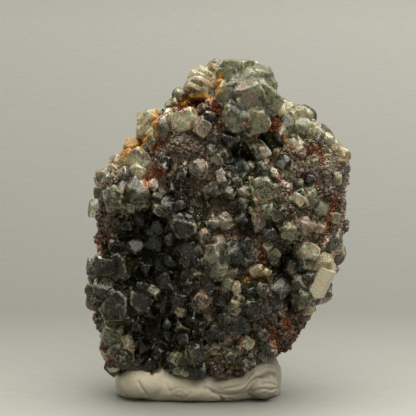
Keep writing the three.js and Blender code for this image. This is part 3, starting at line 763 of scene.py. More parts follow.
def habit_shapes(rng, bevel, cuts=0):
    """Several shapes of each habit, no two with the same faces, with some broken off corners."""
    shapes = {}
    for name, distances in HABITS.items():
        forms = [directions(kind) for kind in ("cube", "octahedron", "dodecahedron")]
        normals = np.concatenate(forms)
        reach = np.concatenate([np.full(len(form), far) for form, far in zip(forms, distances)])
        shapes[name] = []
        for _ in range(HABIT_VARIANTS):
            broken = unit(rng.normal(size=(cuts, 3))).reshape(-1, 3)
            far = reach * (1 + HABIT_SPREAD * rng.uniform(-1, 1, len(reach)))
            far = np.concatenate([far, rng.uniform(*BROKEN_REACH, cuts)])
            shapes[name].append(polyhedron(np.concatenate([normals, broken]), far, bevel))
    return shapes


def habit_of(width):
    """The habit of crystals of a width."""
    if width >= WIDE_CRYSTAL:
        return "cut cube"
    return "cuboctahedron" if width >= SMALL_CRYSTAL else "cube"


def crystal_frame(random):
    """The stretch and turn of a crystal, drawn as the solid's are."""
    stretch = np.array([LEAST_STRETCH + STRETCH_SPREAD * next(random) for _ in range(3)])
    angles = [next(random) * math.pi for _ in range(3)]
    return stretch, euler_turn(*angles)


def placed(shape, centre, turn, size):
    """A shape at its size, turned and moved to its place."""
    points, faces = shape
    return (points * size) @ turn.T + centre, faces


# Large crystals: a clear outer shell, blocks grown parallel to it, and the phantom inside

def all_crystals(rng):
    """Centre, width, stretch, turn and tint of every large crystal."""
    found = []
    for i, (column, row, width, standing, tint) in enumerate(CRYSTALS):
        centre = front_point(column, row, standing)
        found.append((centre, width, *crystal_frame(stream(i + 1)), tint))
    random = stream(FLANK_SEED)
    for i in range(FLANK_COUNT):
        angle = np.array([i * GOLDEN_ANGLE])
        share = (i + next(random)) / FLANK_COUNT
        latitude = np.array([FLANK_FIRST - FLANK_REACH * share ** FLANK_THINNING])
        width = between(FLANK_WIDTHS, next(random) ** 2)
        sunk = FLANK_SINK * width * rock_normal(angle, latitude)
        centre = (rock_point(angle, latitude) - sunk)[0]
        tint = BACK_TINTS[rng.integers(len(BACK_TINTS))]
        found.append((centre, width, *crystal_frame(stream(FLANK_STREAMS + i)), tint))
    return found


# Parts of a large crystal, as shares of its size: its own stretch, parallel blocks, the phantom;
# then how its tint varies, and how bright what is inside can be
SHELL_STRETCH = (0.9, 1.2)
SHELL_SHRINK = 0.96
BLOCKS_PER_MM = 0.8
BLOCK_SHARES = (0.4, 0.75)
BLOCK_REACH = 0.96
BLOCK_TUCK = 0.72
PHANTOM_SHARES = (0.45, 0.66)
TONES = (0.85, 1.15)
BRIGHTEST = 0.8

# Flakes of the healed cracks: how far out they lie, their sizes in mm, form and shades
FLAKES_PER_MM = 4
FLAKE_REACH = (0.3, 0.8)
FLAKE_SIZES = (0.06, 0.2)
FLAKE_FORM = np.array([1, 0.7, 0.2])
FLAKE_SHADES = (0.5, 1.2, 2.0, 3.0)

# Clusters of small crystals in place of a large one: how many, how far out and how large
GRANULAR_TINTS = ("plum", "mauve", "rust")
GRANULAR_PER_MM2 = 9.0
GRANULAR_REACH = (0.55, 0.9)
GRANULAR_SIZES = (0.2, 0.46)
GRANULAR_STRETCH = (0.8, 1.3)
GRANULAR_TONES = (0.6, 1.7)

# The second growth, between the crystals that are at least so wide and off their middles
LARGE_CRYSTAL = 3.2
LARGE_REACH = 0.55
SECOND_TRIES = 24000
SECOND_SPACING = 1.4
SECOND_WIDTHS = (2.6, 5.6)
SECOND_THINNING = 1.4
SECOND_SIZES = ((0.65, 0.55, 0.9), (1.0, 0.85, 1.5))
SECOND_DEPTHS = (-0.3, -0.05)
SECOND_LEAN = 4
SECOND_WOBBLE = 0.12
SECOND_TONES = (0.8, 1.2)
GRANULAR_CLOUD = 0.62

# It is larger and rarer in the hollows, larger on the back and smaller along the outline
DEEP_RANGE = (1.2, 2.0)
DEEP_SWELL = 0.75
DEEP_THINNING = 0.75
BACK_SWELL = 0.3
BACK_BAND = (0, 4)
EDGE_SHRINK = 0.5
EDGE_BAND = 4.0

# Everything stays this far inside the solid model's box, in mm
BOX_MARGIN = 0.05
BOX_LOW = np.array(CAD_BOX[0]) / MM
BOX_HIGH = np.array(CAD_BOX[1]) / MM


def within_box(points):
    """Whether points of the leaning frame stay inside the solid model's box."""
    seen = to_frame(points) / MM
    return bool((seen >= BOX_LOW + BOX_MARGIN).all() and (seen <= BOX_HIGH - BOX_MARGIN).all())


class Growth:
    """What grows on the rock: raw shapes and colour seeds by glass, and the finer things in them."""

    def __init__(self):
        self.raw = {key: Heap() for key in sorted(set(GLASS_OF.values()))}
        self.seeds = {key: [] for key in self.raw}
        self.phantoms = Heap()
        self.flakes = Heap()
        self.granular = Heap()

    def add(self, tint, shape, places=(), reach=0.0, colour=()):
        """A shape in the glass of its tint, and the places that spread its colour so far."""
        key = GLASS_OF[tint]
        self.raw[key].add(*shape)
        self.seeds[key] += [(*place, reach, *colour) for place in places]


def grow_flakes(rng, heap, centre, turn, size, width, colour):
    """Flakes of healed cracks inside a crystal."""
    flake = double_pyramid()
    for _ in range(int(FLAKES_PER_MM * width)):
        away = turn @ (unit(rng.normal(size=3)) * rng.uniform(*FLAKE_REACH) * size)
        shade = rng.choice(FLAKE_SHADES)
        grain = rng.uniform(*FLAKE_SIZES) * FLAKE_FORM
        spot = placed(flake, centre + away, random_turns(rng, 1)[0], grain)
        heap.add(*spot, np.clip(colour * shade, 0, BRIGHTEST))


def grow_aggregate(rng, heap, centre, width, colour, shapes):
    """A rounded cluster of small crystals in place of one large one."""
    for _ in range(int(GRANULAR_PER_MM2 * width ** 2)):
        away = unit(rng.normal(size=3)) * width / 2 * rng.uniform(*GRANULAR_REACH)
        size = rng.uniform(*GRANULAR_SIZES) * rng.uniform(*GRANULAR_STRETCH, 3)
        shape = one_of(rng, shapes)
        crystal = placed(shape, centre + away, random_turns(rng, 1)[0], size)
        if within_box(crystal[0]):
            heap.add(*crystal, np.clip(colour * rng.uniform(*GRANULAR_TONES), 0, BRIGHTEST))


def grow_large(rng, growth, large, shapes, plain_shapes, small_shapes):
    """The large crystals, each a shell with parallel blocks, its phantom and its flakes."""
    for centre, width, stretch, turn, tint in large:
        radius = width / 2
        choices = shapes[habit_of(width)]
        colour = linear(tint) * rng.uniform(*TONES)
        if tint in GRANULAR_TINTS:
            grow_aggregate(rng, growth.granular, centre, width, colour, small_shapes)
            continue
        size = stretch * radius * rng.uniform(*SHELL_STRETCH, 3)
        shell = placed(one_of(rng, choices), centre, turn, size)
        while not within_box(shell[0]):
            size = size * SHELL_SHRINK
            shell = placed(choices[0], centre, turn, size)
        growth.add(tint, shell, [centre], radius, colour)
        for _ in range(int(BLOCKS_PER_MM * width)):
            share = rng.uniform(*BLOCK_SHARES)
            away = turn @ (unit(rng.normal(size=3)) * (BLOCK_REACH - share * BLOCK_TUCK) * size)
            block = placed(one_of(rng, choices), centre + away, turn, size * share)
            if within_box(block[0]):
                growth.add(tint, block)
        inner = size * rng.uniform(*PHANTOM_SHARES)
        plain = one_of(rng, plain_shapes[habit_of(width)])
        growth.phantoms.add(*placed(plain, centre, turn, inner), colour)
        grow_flakes(rng, growth.flakes, centre, turn, size, width, colour)


def second_places(spots, normals, large):
    """The spots, with their normals, that lie off the large crystals; fewer in the hollows."""
    wide = [(centre, width) for centre, width, *_ in large if width >= LARGE_CRYSTAL]
    centres = np.array([centre for centre, _ in wide])
    widths = np.array([width for _, width in wide])
    far = np.linalg.norm(spots[:, None] - centres[None], axis=2) / widths
    free = far.min(axis=1) > LARGE_REACH
    _, _, sinks = zone_look(spots)
    free &= chance(spots, THINNING_DRAW) >= DEEP_THINNING * smoothstep(sinks, *DEEP_RANGE)
    return spots[free], normals[free]


def grow_second(growth, shapes, spots, normals):
    """The smaller crystals between the large ones, each drawn from its own place alone."""
    _, clouds, sinks = zone_look(spots)
    swells = 1 + DEEP_SWELL * smoothstep(sinks, *DEEP_RANGE)
    swells = swells + BACK_SWELL * smoothstep(spots[:, 1], *BACK_BAND)
    swells *= 1 - EDGE_SHRINK * np.exp(-(spots[:, 1] / EDGE_BAND) ** 2)
    leans = np.stack([pattern(spots, "lean " + way) - 0.5 for way in ("across", "along", "up")], -1)
    spins = 2 * math.pi * pattern(spots, "spin")
    looks = zip(spots, normals, clouds, zone_tints(spots), swells, leans, spins)
    for spot, normal, cloud, tint, swell, lean, spin in looks:
        if cloud > GRANULAR_CLOUD or tint in GRANULAR_TINTS:
            continue
        own = np.random.default_rng([int(v) for v in np.abs(spot) * SPOTS_PER_MM])
        width = between(SECOND_WIDTHS, own.random() ** SECOND_THINNING) * swell
        size = width / 2 * own.uniform(*SECOND_SIZES)
        choices = shapes[list(HABITS)[own.integers(len(HABITS))]]
        centre = spot + normal * width * own.uniform(*SECOND_DEPTHS)
        aim = unit(normal + SECOND_LEAN * lean + own.normal(0, SECOND_WOBBLE, 3))
        crystal = placed(one_of(own, choices), centre, aim_turn(aim, spin), size)
        across, _, height = to_frame(spot) / MM
        if within_box(crystal[0]) and height > max(PUTTY_LINE, crest_at(across)):
            growth.add(tint, crystal, [centre], width / 2, linear(tint) * own.uniform(*SECOND_TONES))


# Skins round the crystals of each glass: how fine the first net is in mm, how worn, the angle that
# still shows as an edge, the depth of the etching in mm and how many radii a crystal's colour goes
SKIN_VOXEL = 0.24
SKIN_PASSES = 2
SKIN_WEAR = 0.5
FACET_ANGLE = math.radians(38)
ETCH_DEPTH = 0.07
SEED_REACH = 2

# Colour over a skin: the share of the zone's patches, the mottle, the painted highlight on sharp
# edges, the painted shade in the creases and the veils
PATCH_LEAST = 0.05
PATCH_MORE = 0.55
PATCH_EDGE = (0.5, 0.62)
MOTTLE = 1.2
RIM_SHARP = (0.085, 0.15)
RIM_BREAKS = (0.3, 0.5)
# Painted highlight on sharp edges: how much it brightens, the pale light it adds, how much of it dark
# crystals keep, and the tones over which that grows
RIM_HIGHLIGHT = 0.8
RIM_LIGHT = np.array([0.17, 0.168, 0.135])
RIM_DIM = 0.1
RIM_TONES = (0.012, 0.08)
CREASE_SHARP = (0.015, 0.09)
CREASE_SHADE = 0.2
VEIL_EDGE = (0.4, 0.65)
ZONE_CLOUD = 0.4
VEIL_CLOUD = 0.4
RIM_CLOUD = 0.8
MOST_CLOUD = 0.75


def skin(points, faces, voxel, passes):
    """One surface round overlapping closed shapes, with its corners worn."""
    rough = mesh_object("rough", points, faces)
    remesh = rough.modifiers.new("skin", "REMESH")
    remesh.mode = "VOXEL"
    remesh.voxel_size = voxel
    worn = rough.modifiers.new("worn", "SMOOTH")
    worn.factor = SKIN_WEAR
    worn.iterations = passes
    return applied(rough)


def thinned(points, faces, values, count):
    """The same surface with about a number of triangles, and a value of its points."""
    rough = mesh_object("rough", points, faces, np.repeat(values[:, None], 4, axis=1))
    fewer = rough.modifiers.new("fewer", "DECIMATE")
    fewer.ratio = min(1, count / len(faces))
    return applied(rough, valued=True)


def etched(points, faces):
    """A surface with the pits and steps of growth and of slow solution."""
    out = ETCH_DEPTH * (pattern(points, "etching") - 0.5)
    return points + vertex_normals(points, faces) * out[:, None]


def nearest_seed(points, seeds):
    """The colour of the crystal that each point of a skin belongs to."""
    order = np.argsort(points[:, 0])
    across = points[order, 0]
    best = np.full(len(points), np.inf)
    colours = np.zeros((len(points), 3))
    for x, y, z, radius, *colour in seeds:
        low, high = np.searchsorted(across, (x - SEED_REACH * radius, x + SEED_REACH * radius))
        near = order[low:high]
        far = np.linalg.norm(points[near] - (x, y, z), axis=1) / radius
        nearer = far < best[near]
        best[near[nearer]] = far[nearer]
        colours[near[nearer]] = colour
    return colours


def skin_looks(points, ridge, seeds):
    """Colours and cloudiness over a skin: the crystals' own, patches of the zone's, and stain."""
    own = nearest_seed(points, seeds)
    zone, cloud, _ = zone_look(points)
    patch = PATCH_LEAST + PATCH_MORE * smoothstep(pattern(points, "patch"), *PATCH_EDGE)[:, None]
    colours = own * (1 - patch) + zone * patch
    colours *= np.exp(MOTTLE * (pattern(points, "mottle") - 0.5))[:, None]
    # A painted highlight along the sharp edges, broken in places, which also clouds the glass there
    rim = smoothstep(ridge, *RIM_SHARP) * smoothstep(pattern(points, "rim highlight breaks"), *RIM_BREAKS)
    # Painted shade darkens the creases between the crystals
    colours *= 1 - CREASE_SHADE * smoothstep(-ridge, *CREASE_SHARP)[:, None]
    light = RIM_DIM + (1 - RIM_DIM) * smoothstep(colours.mean(axis=1), *RIM_TONES)
    colours += rim[:, None] * (RIM_HIGHLIGHT * colours + light[:, None] * RIM_LIGHT)
    veil = smoothstep(pattern(points, "veil"), *VEIL_EDGE)
    cloud = np.minimum(ZONE_CLOUD * cloud + VEIL_CLOUD * veil + RIM_CLOUD * rim, MOST_CLOUD)
    return stained(points, colours, cloud)


def double_pyramid():
    """Two four-sided pyramids, base to base."""
    points = np.array([[1, 0, 0], [-1, 0, 0], [0, 1, 0], [0, -1, 0], [0, 0, 1], [0, 0, -1]], float)
    faces = [
        (x, y, z) if (x + y + z) % 2 == 0 else (y, x, z)
        for x in (0, 1) for y in (2, 3) for z in (4, 5)
    ]
    return points, np.array(faces)


# The rock under the crystals

# Its roughness in mm: lumps, broken cells and grain, each with its cycles per mm, and the most
# that they take off or add; octaves are how much finer ones fade, how much finer they are and
# how many
ROCK_SUBDIVISIONS = 7
ROCK_TRIANGLES = 56000
ROCK_LUMP = 0.9
LUMP_SCALE = 0.35
LUMP_OCTAVES = (1.0, 2.1, 4)
LUMP_SPREAD = (0.5, 0.9)
CELL_SCALE = 0.62
CELL_SPREAD = (0.5, 0.7)
ROCK_GRAIN = 0.35
ROCK_GRAIN_SCALE = 2.6
ROUGH_LIMITS = (-1.3, 0.9)
ROUGH_BACK = (-2, 8)

# The crust grows on a surface that lies no deeper than this in the hollows, in mm
DEEP_SINK = 1.6

# Zones have ragged borders, in pixels in front and in mm round to the back; then how fast they
# fade, and how much of the back's look there is in front
ZONE_RAGGED = 16
ZONE_FALL = -1.5
BACK_RAGGED = 6
BACK_BORDER = (5, 2)
BACK_SHARE = 0.02

# How many of the back's crystals take their patch's tint; the least value and the span of the
# patterns that pick tints; how narrowly tints blend; and the last place on a list of them
PATCHY_SHARE = 0.75
ZONE_TINT_PLACE = (0.22, 0.56)
BACK_TINT_PLACE = (0.25, 0.5)
TINT_BLEND = (0.3, 0.7)
LAST_PLACE = 0.999

# Where the back gets clouded, and how much painted shade darkens the matrix between two depths in mm
BACK_CLOUD_EDGE = (0.42, 0.52)
DEEP_SHADE = 0.6
DEEP_SHADE_RANGE = (1.8, 3.2)


def zone_shares(points):
    """The share of each zone at each point, with the back of the rock as the last."""
    column, row = to_picture(points)
    column = column + ZONE_RAGGED * (pattern(points, "zone edge across") - 0.5)
    row = row + ZONE_RAGGED * (pattern(points, "zone edge down") - 0.5)
    shares = [
        np.exp(ZONE_FALL * ((column - c) ** 2 + (row - r) ** 2) / reach ** 2)
        for c, r, reach, *_ in ZONES
    ]
    border = points[:, 1] + BACK_RAGGED * (pattern(points, "back edge") - 0.5)
    front = smoothstep(border, *BACK_BORDER)
    shares = np.array(shares) * front + 1e-9
    back = BACK_SHARE + (1 - front)
    shares = np.concatenate([shares, back[None]])
    return shares / shares.sum(axis=0)


def back_place(points):
    """Where on the list of the back's tints each point lies, from 0 to 1: alike over some mm."""
    start, span = BACK_TINT_PLACE
    return np.clip((pattern(points, "back tint") - start) / span, 0, LAST_PLACE)


def zone_tints(points):
    """A tint for each point of the leaning frame, drawn from the zone that it lies in."""
    shares = zone_shares(points).cumsum(axis=0)
    pick = np.minimum((shares < chance(points, ZONE_DRAW)).sum(axis=0), len(ZONES))
    draw = np.minimum(chance(points, TINT_DRAW), LAST_PLACE)
    alike = (pick == len(ZONES)) & (chance(points, PATCHY_DRAW) < PATCHY_SHARE)
    draw = np.where(alike, back_place(points), draw)
    lists = ZONE_TINTS + [BACK_TINTS]
    return [lists[p][int(d * len(lists[p]))] for p, d in zip(pick, draw)]


def palette_colours(tints, place):
    """Colours along a list of tints, at places from 0 to 1, with narrow blends between them."""
    stops = np.array([linear(tint) for tint in tints])
    at = np.clip(place, 0, 1) * (len(stops) - 1)
    first = np.minimum(at.astype(int), len(stops) - 2)
    share = smoothstep(at - first, *TINT_BLEND)[:, None]
    return stops[first] * (1 - share) + stops[first + 1] * share


def zone_look(points):
    """Mottled colour, cloudiness and depth of the matrix at each point."""
    shares = zone_shares(points)
    start, span = ZONE_TINT_PLACE
    place = (pattern(points, "zone tint") - start) / span
    colours = sum(
        share[:, None] * palette_colours(tints, place) for share, tints in zip(shares, ZONE_TINTS))
    colours = colours + shares[-1][:, None] * palette_colours(BACK_TINTS, back_place(points))
    patches = smoothstep(pattern(points, "back cloud"), *BACK_CLOUD_EDGE)
    back_cloud = between(BACK_CLOUDS, patches)
    cloud = np.array(ZONE_CLOUDS) @ shares[:-1] + back_cloud * shares[-1]
    sink = np.array(ZONE_SINKS + [BACK_SINK]) @ shares
    return colours, cloud, sink


def rock_mesh():
    """The surface that the crust grows on, the matrix under it, and their triangles.

    A ball's points are moved onto the rock and roughened by lumps, broken facets and grain.
    """
    ball, faces = ball_shape(ROCK_SUBDIVISIONS)
    ball = unit(ball)
    angle = np.arctan2(ball[:, 2], ball[:, 0])
    latitude = np.arcsin(np.clip(-ball[:, 1], -1, 1)) * 2 / math.pi
    points = rock_point(angle, latitude)
    normals = rock_normal(angle, latitude)
    lumps = np.array([noise.fractal(Vector(p) * LUMP_SCALE, *LUMP_OCTAVES) for p in points])
    cells = np.array([
        noise.voronoi(Vector(p) * CELL_SCALE, distance_metric="DISTANCE", exponent=1)[0][0]
        for p in points
    ])
    fine = np.array([noise.noise(Vector(p) * ROCK_GRAIN_SCALE) for p in points])
    back = smoothstep(points[:, 1], *ROUGH_BACK)
    _, _, sink = zone_look(points)
    out = ROCK_LUMP * lumps * (LUMP_SPREAD[0] + LUMP_SPREAD[1] * back)
    out += (0.5 - cells) * (CELL_SPREAD[0] + CELL_SPREAD[1] * back)
    out += ROCK_GRAIN * fine
    out = np.clip(out, *ROUGH_LIMITS)
    grown = points + normals * (out - np.maximum(sink - DEEP_SINK, 0))[:, None]
    return grown, points + normals * (out - sink)[:, None], faces


def rock_looks(points):
    """Colours of the matrix, with painted shade where it lies deep."""
    colours, _, sink = zone_look(points)
    colours = colours * np.exp(0.5 * MOTTLE * (pattern(points, "rock mottle") - 0.5))[:, None]
    # Painted shade: the deeper the matrix lies, the darker it is
    colours *= (1 - DEEP_SHADE * smoothstep(sink, *DEEP_SHADE_RANGE))[:, None]
    return stained(points, colours, np.ones(len(points)))


# Rust-coloured stain along the cracks: columns and rows of the paths, with width in mm and tint

STAINS = [
    ([(182, 106), (192, 101), (203, 99), (215, 106)], 2.8, "rust"),
    ([(184, 101), (196, 96), (208, 97)], 1.2, "amber"),
    ([(222, 75), (217, 84), (219, 92)], 0.9, "amber"),
    ([(243, 91), (251, 99)], 2.6, "pink"),
    ([(121, 184), (129, 176)], 2.0, "mauve"),
    ([(133, 152), (147, 158), (149, 168)], 0.9, "pink"),
    ([(124, 153), (134, 143), (146, 138)], 1.6, "amber"),
    ([(120, 158), (128, 152)], 0.6, "amber"),
    ([(146, 183), (152, 175), (162, 169)], 2.2, "rust"),
    ([(156, 146), (162, 141)], 1.4, "rust"),
    ([(157, 112), (154, 121), (156, 132)], 1.1, "amber"),
    ([(178, 106), (186, 108), (193, 107)], 0.6, "rust"),
    ([(222, 118), (220, 128)], 0.9, "rust"),
    ([(276, 119), (272, 126), (279, 131)], 1.4, "rust"),
    ([(207, 155), (207, 170)], 0.4, "rust"),
    ([(264, 158), (274, 170), (284, 184), (292, 192)], 0.9, "rust"),
    ([(256, 194), (258, 208), (260, 221)], 0.7, "rust"),
    ([(336, 195), (331, 215), (325, 246)], 0.8, "rust"),
    ([(301, 156), (308, 151), (318, 149), (322, 158)], 1.3, "rust"),
    ([(317, 182), (320, 185)], 0.5, "rust"),
    ([(243, 124), (247, 126)], 0.9, "rust"),
    ([(293, 226), (295, 230)], 0.4, "rust"),
    ([(261, 244), (263, 258)], 0.6, "rust"),
    ([(256, 271), (259, 274)], 0.5, "amber"),
    ([(240, 283), (250, 278)], 0.6, "amber"),
    ([(221, 286), (223, 290)], 0.4, "rust"),
    ([(268, 290), (271, 296)], 0.4, "rust"),
    ([(240, 338), (241, 350)], 1.1, "rust"),
    ([(274, 334), (276, 350)], 1.6, "rust"),
    ([(285, 320), (289, 330)], 1.0, "rust"),
    ([(102, 349), (107, 358), (114, 365)], 0.9, "rust"),
    ([(98, 238), (100, 256)], 0.8, "rust"),
    ([(106, 232), (112, 242)], 0.5, "rust"),
    ([(272, 124), (278, 128), (280, 136)], 0.7, "rust"),
    ([(284, 134), (288, 148)], 0.5, "amber"),
    ([(170, 112), (158, 121), (157, 130)], 0.4, "rust"),
]

# Its grains' spacing, how far they stray, sizes in mm and form; then how opaque the stain is, and
# its ragged edge and mottle, each a least value and what the pattern adds
STAIN_STEP = 0.3
STAIN_STRAY = 2.6
STAIN_SIZES = (0.08, 0.24)
STAIN_FORM = np.array([1, 1, 0.45])
STAIN_STRETCH = (0.8, 1.3)
STAIN_TONES = (0.2, 1.0)
STAIN_TURN = 6.3
STAIN_CLOUDS = {"rust": 0.95, "amber": 0.8}
FAINT_CLOUD = 0.7
STAIN_RAGGED = (0.25, 1.5)
STAIN_MOTTLE = (0.2, 1.2)
STAIN_EDGE = (0.75, 0.35)
STAIN_FRONT = (4, 0)
STAIN_NEAR = 40


def stained(points, colours, cloud):
    """Colours and cloudiness with the rust and amber of the stains over them."""
    column, row = to_picture(points)
    here = np.stack([column, row], -1)
    ragged = STAIN_RAGGED[0] + STAIN_RAGGED[1] * pattern(points, "stain edge")
    front = smoothstep(points[:, 1], *STAIN_FRONT)
    for path, width, tint in STAINS:
        stops = np.array(path, float)
        near = np.flatnonzero(np.linalg.norm(here - stops.mean(axis=0), axis=1) < STAIN_NEAR)
        far = np.full(len(near), np.inf)
        for start, end in pairwise(stops):
            along = end - start
            t = np.clip((here[near] - start) @ along / (along @ along), 0, 1)
            far = np.minimum(far, np.linalg.norm(here[near] - start - t[:, None] * along, axis=1))
        outer, inner = (edge * width for edge in STAIN_EDGE)
        share = smoothstep(far * MM_PER_PIXEL * ragged[near], outer, inner) * front[near]
        mottle = STAIN_MOTTLE[0] + STAIN_MOTTLE[1] * pattern(points[near], "stain mottle")
        colours[near] += share[:, None] * (linear(tint) * mottle[:, None] - colours[near])
        cloud[near] += share * (STAIN_CLOUDS.get(tint, FAINT_CLOUD) - cloud[near])
    return np.c_[np.clip(colours, 0, 1), cloud]


# The fine crust

# Spacing and widths in mm, with the few large ones, how often one grows where nothing is clouded
# and everything is, how deep they sit as a share of their width, and their stretch and tones
CRUST_SPACING = 0.35
CRUST_TRIES = 100000
CRUST_WIDTHS = (0.28, 0.72)
CRUST_THINNING = 1.5
CRUST_LARGE = 0.8
CRUST_RARITY = 9
CRUST_ODDS = (0.15, 1.1)
CRUST_DEPTHS = (-0.25, 0.12)
CRUST_STRETCH = (0.7, 1.5)
CRUST_TONES = (0.85, 1.2)
CLEAR_TINTS = ("pale", "white", "grey", "green", "pink", "cream", "blue")

# Its crystals' own forms: a box with moved corners and a double pyramid
CRUST_FORMS = 12
BOX_HALF = 0.62
BOX_STRETCH = (0.75, 1.1)
BOX_SKEW = 0.16
PYRAMID_STRETCH = (0.8, 1.25)
PYRAMID_SKEW = 0.15


def scatter(rng, points, faces, tries, spacing):
    """Spots spread over a surface no nearer each other than their spacing, with its normals."""
    a, b, c = (points[faces[:, i]] for i in range(3))
    crossed = np.cross(b - a, c - a)
    area = np.linalg.norm(crossed, axis=1) / 2
    pick = np.searchsorted(np.cumsum(area) / area.sum(), rng.random(tries))
    u, v = rng.random((2, tries))
    flip = u + v > 1
    u, v = np.where(flip, 1 - u, u), np.where(flip, 1 - v, v)
    spots = a[pick] + (b - a)[pick] * u[:, None] + (c - a)[pick] * v[:, None]
    normals = unit(crossed[pick])
    kept = []
    cells = {}
    for i, spot in enumerate(spots):
        home = tuple((spot // spacing).astype(int))
        near = (
            cells.get((home[0] + x, home[1] + y, home[2] + z))
            for x in (-1, 0, 1) for y in (-1, 0, 1) for z in (-1, 0, 1)
        )
        if any(other is not None and np.sum((other - spot) ** 2) < spacing ** 2 for other in near):
            continue
        cells[home] = spot
        kept.append(i)
    return spots[kept], normals[kept]


def crust_shapes(rng):
    """Small plain crystals: uneven boxes and double pyramids."""
    box = np.array([(x, y, z) for x in (-1, 1) for y in (-1, 1) for z in (-1, 1)], float)
    sides = [(0, 1, 3, 2), (4, 6, 7, 5), (0, 4, 5, 1), (2, 3, 7, 6), (0, 2, 6, 4), (1, 5, 7, 3)]
    halves = np.array([half for a, b, c, d in sides for half in ((a, b, c), (a, c, d))])
    pyramids, triangles = double_pyramid()
    made = []
    for _ in range(CRUST_FORMS):
        stretched = BOX_HALF * box * rng.uniform(*BOX_STRETCH, 3)
        made.append((stretched + rng.uniform(-BOX_SKEW, BOX_SKEW, (8, 3)), halves))
        stretched = pyramids * rng.uniform(*PYRAMID_STRETCH, (6, 1))
        made.append((stretched + rng.uniform(-PYRAMID_SKEW, PYRAMID_SKEW, (6, 3)), triangles))
    return made


def grow_crust(rng, points, faces, shapes):
    """The small crystals between the large ones, in two heaps: clear ones and clouded ones."""
    spots, normals = scatter(rng, points, faces, CRUST_TRIES, CRUST_SPACING)
    tints = zone_tints(spots)
    turns = random_turns(rng, len(spots))
    _, clouds, _ = zone_look(spots)
    clear, clouded = Heap(), Heap()
    for spot, normal, turn, tint, cloud in zip(spots, normals, turns, tints, clouds):
        if rng.random() > CRUST_ODDS[0] + CRUST_ODDS[1] * cloud:
            continue
        width = between(CRUST_WIDTHS, rng.random() ** CRUST_THINNING)
        width += CRUST_LARGE * rng.random() ** CRUST_RARITY
        size = width / 2 * rng.uniform(*CRUST_STRETCH, 3)
        shape = one_of(rng, shapes)
        crystal = placed(shape, spot + normal * width * rng.uniform(*CRUST_DEPTHS), turn, size)
        if not within_box(crystal[0]) or to_frame(spot)[2] / MM < PUTTY_LINE:
            continue
        colour = linear(tint) * rng.uniform(*CRUST_TONES)
        heap = clear if tint in CLEAR_TINTS else clouded
        heap.add(*crystal, colour, cloud)
    return clear, clouded


# Grains: how many forms, the spacing of their bumps, how far apart the forms are taken from the
# noise, and how uneven they are
STAIN_SHAPES = 6
STAIN_BUMPS = 1.7
STAIN_APART = 50
STAIN_UNEVEN = 0.35


def grain_shape(rng):
    """A rounded grain with an uneven surface."""
    points, faces = ball_shape(1)
    uneven = np.array([
        noise.noise(Vector(p) * STAIN_BUMPS + Vector((rng.uniform(0, STAIN_APART), 0, 0)))
        for p in points
    ])
    return points * (1 + STAIN_UNEVEN * uneven)[:, None], faces


def pixel_ray(column, row):
    """From the viewer through a pixel, in the leaning frame."""
    return EYE, unit(from_picture(float(column), float(row)) - EYE)


def grow_stain(rng, tree):
    """Grains of stain on whatever the viewer sees along the paths."""
    heap = Heap()
    shapes = [grain_shape(rng) for _ in range(STAIN_SHAPES)]
    for path, width, tint in STAINS:
        stops = np.array(path, float)
        stray = width / MM_PER_PIXEL / STAIN_STRAY
        for start, end in pairwise(stops):
            steps = max(2, int(np.linalg.norm(end - start) * MM_PER_PIXEL / STAIN_STEP))
            for t in np.linspace(0, 1, steps):
                eye, aim = pixel_ray(*(start + (end - start) * t + rng.normal(0, stray, 2)))
                hit, normal, _, _ = tree.ray_cast(Vector(eye), Vector(aim))
                if hit is None:
                    continue
                size = rng.uniform(*STAIN_SIZES) * STAIN_FORM * rng.uniform(*STAIN_STRETCH, 3)
                turn = aim_turn(normal, rng.uniform(0, STAIN_TURN))
                colour = linear(tint) * rng.uniform(*STAIN_TONES)
                grain = placed(one_of(rng, shapes), np.array(hit), turn, size)
                if within_box(grain[0]):
                    heap.add(*grain, np.clip(colour, 0, 1))
    return heap


# Quartz

# How far its axis stands out and how long its point is, as shares of its width; the slope of the
# point's faces; how far its sides lie from the axis, how much they vary, and how worn the edges
# are, as shares of its radius
PRISM_STAND = 0.3
PRISM_TIP = 0.45
PRISM_SLOPE = math.radians(52)
PRISM_SIDE = 0.87
PRISM_SIDES = (0.92, 1.06)
PRISM_TOPS = (-0.12, 0.2)
PRISM_BEVEL = 0.16
PRISM_TURN = 1
PRISM_TONE = 0.98
PRISM_CLOUD = 0.7


def prism_shape(rng, radius, length, tip):
    """A six-sided prism along +z from 0 to its length, with an uneven six-faced point."""
    angles = np.arange(6) * math.pi / 3
    level, rise = math.cos(PRISM_SLOPE), math.sin(PRISM_SLOPE)
    sides = np.stack([np.cos(angles), np.sin(angles), np.zeros(6)], -1)
    tops = np.stack([np.cos(angles) * level, np.sin(angles) * level, np.full(6, rise)], -1)
    normals = np.concatenate([sides, tops, [[0, 0, -1], [0, 0, 1]]])
    side_reach = radius * PRISM_SIDE * rng.uniform(*PRISM_SIDES, 6)
    top_reach = (length - tip) * rise + radius * PRISM_SIDE * level
    tops_reach = top_reach + rng.uniform(*PRISM_TOPS, 6) * radius
    distances = np.concatenate([side_reach, tops_reach, [0], [length]])
    return polyhedron(normals, distances, PRISM_BEVEL * radius, 3)


def grow_quartz(rng):
    """The blocky quartz crystals."""
    heap = Heap()
    for root_column, root_row, tip_column, tip_row, width in QUARTZ_PRISMS:
        root = front_point(root_column, root_row, PRISM_STAND * width)
        tip = front_point(tip_column, tip_row, PRISM_STAND * width)
        length = np.linalg.norm(tip - root)
        shape = prism_shape(rng, width / 2, length, width * PRISM_TIP)
        turn = aim_turn(tip - root, rng.uniform(0, PRISM_TURN))
        crystal = placed(shape, root, turn, 1)
        if within_box(crystal[0]):
            heap.add(*crystal, PRISM_TONE * linear("white"), PRISM_CLOUD)
    return heap


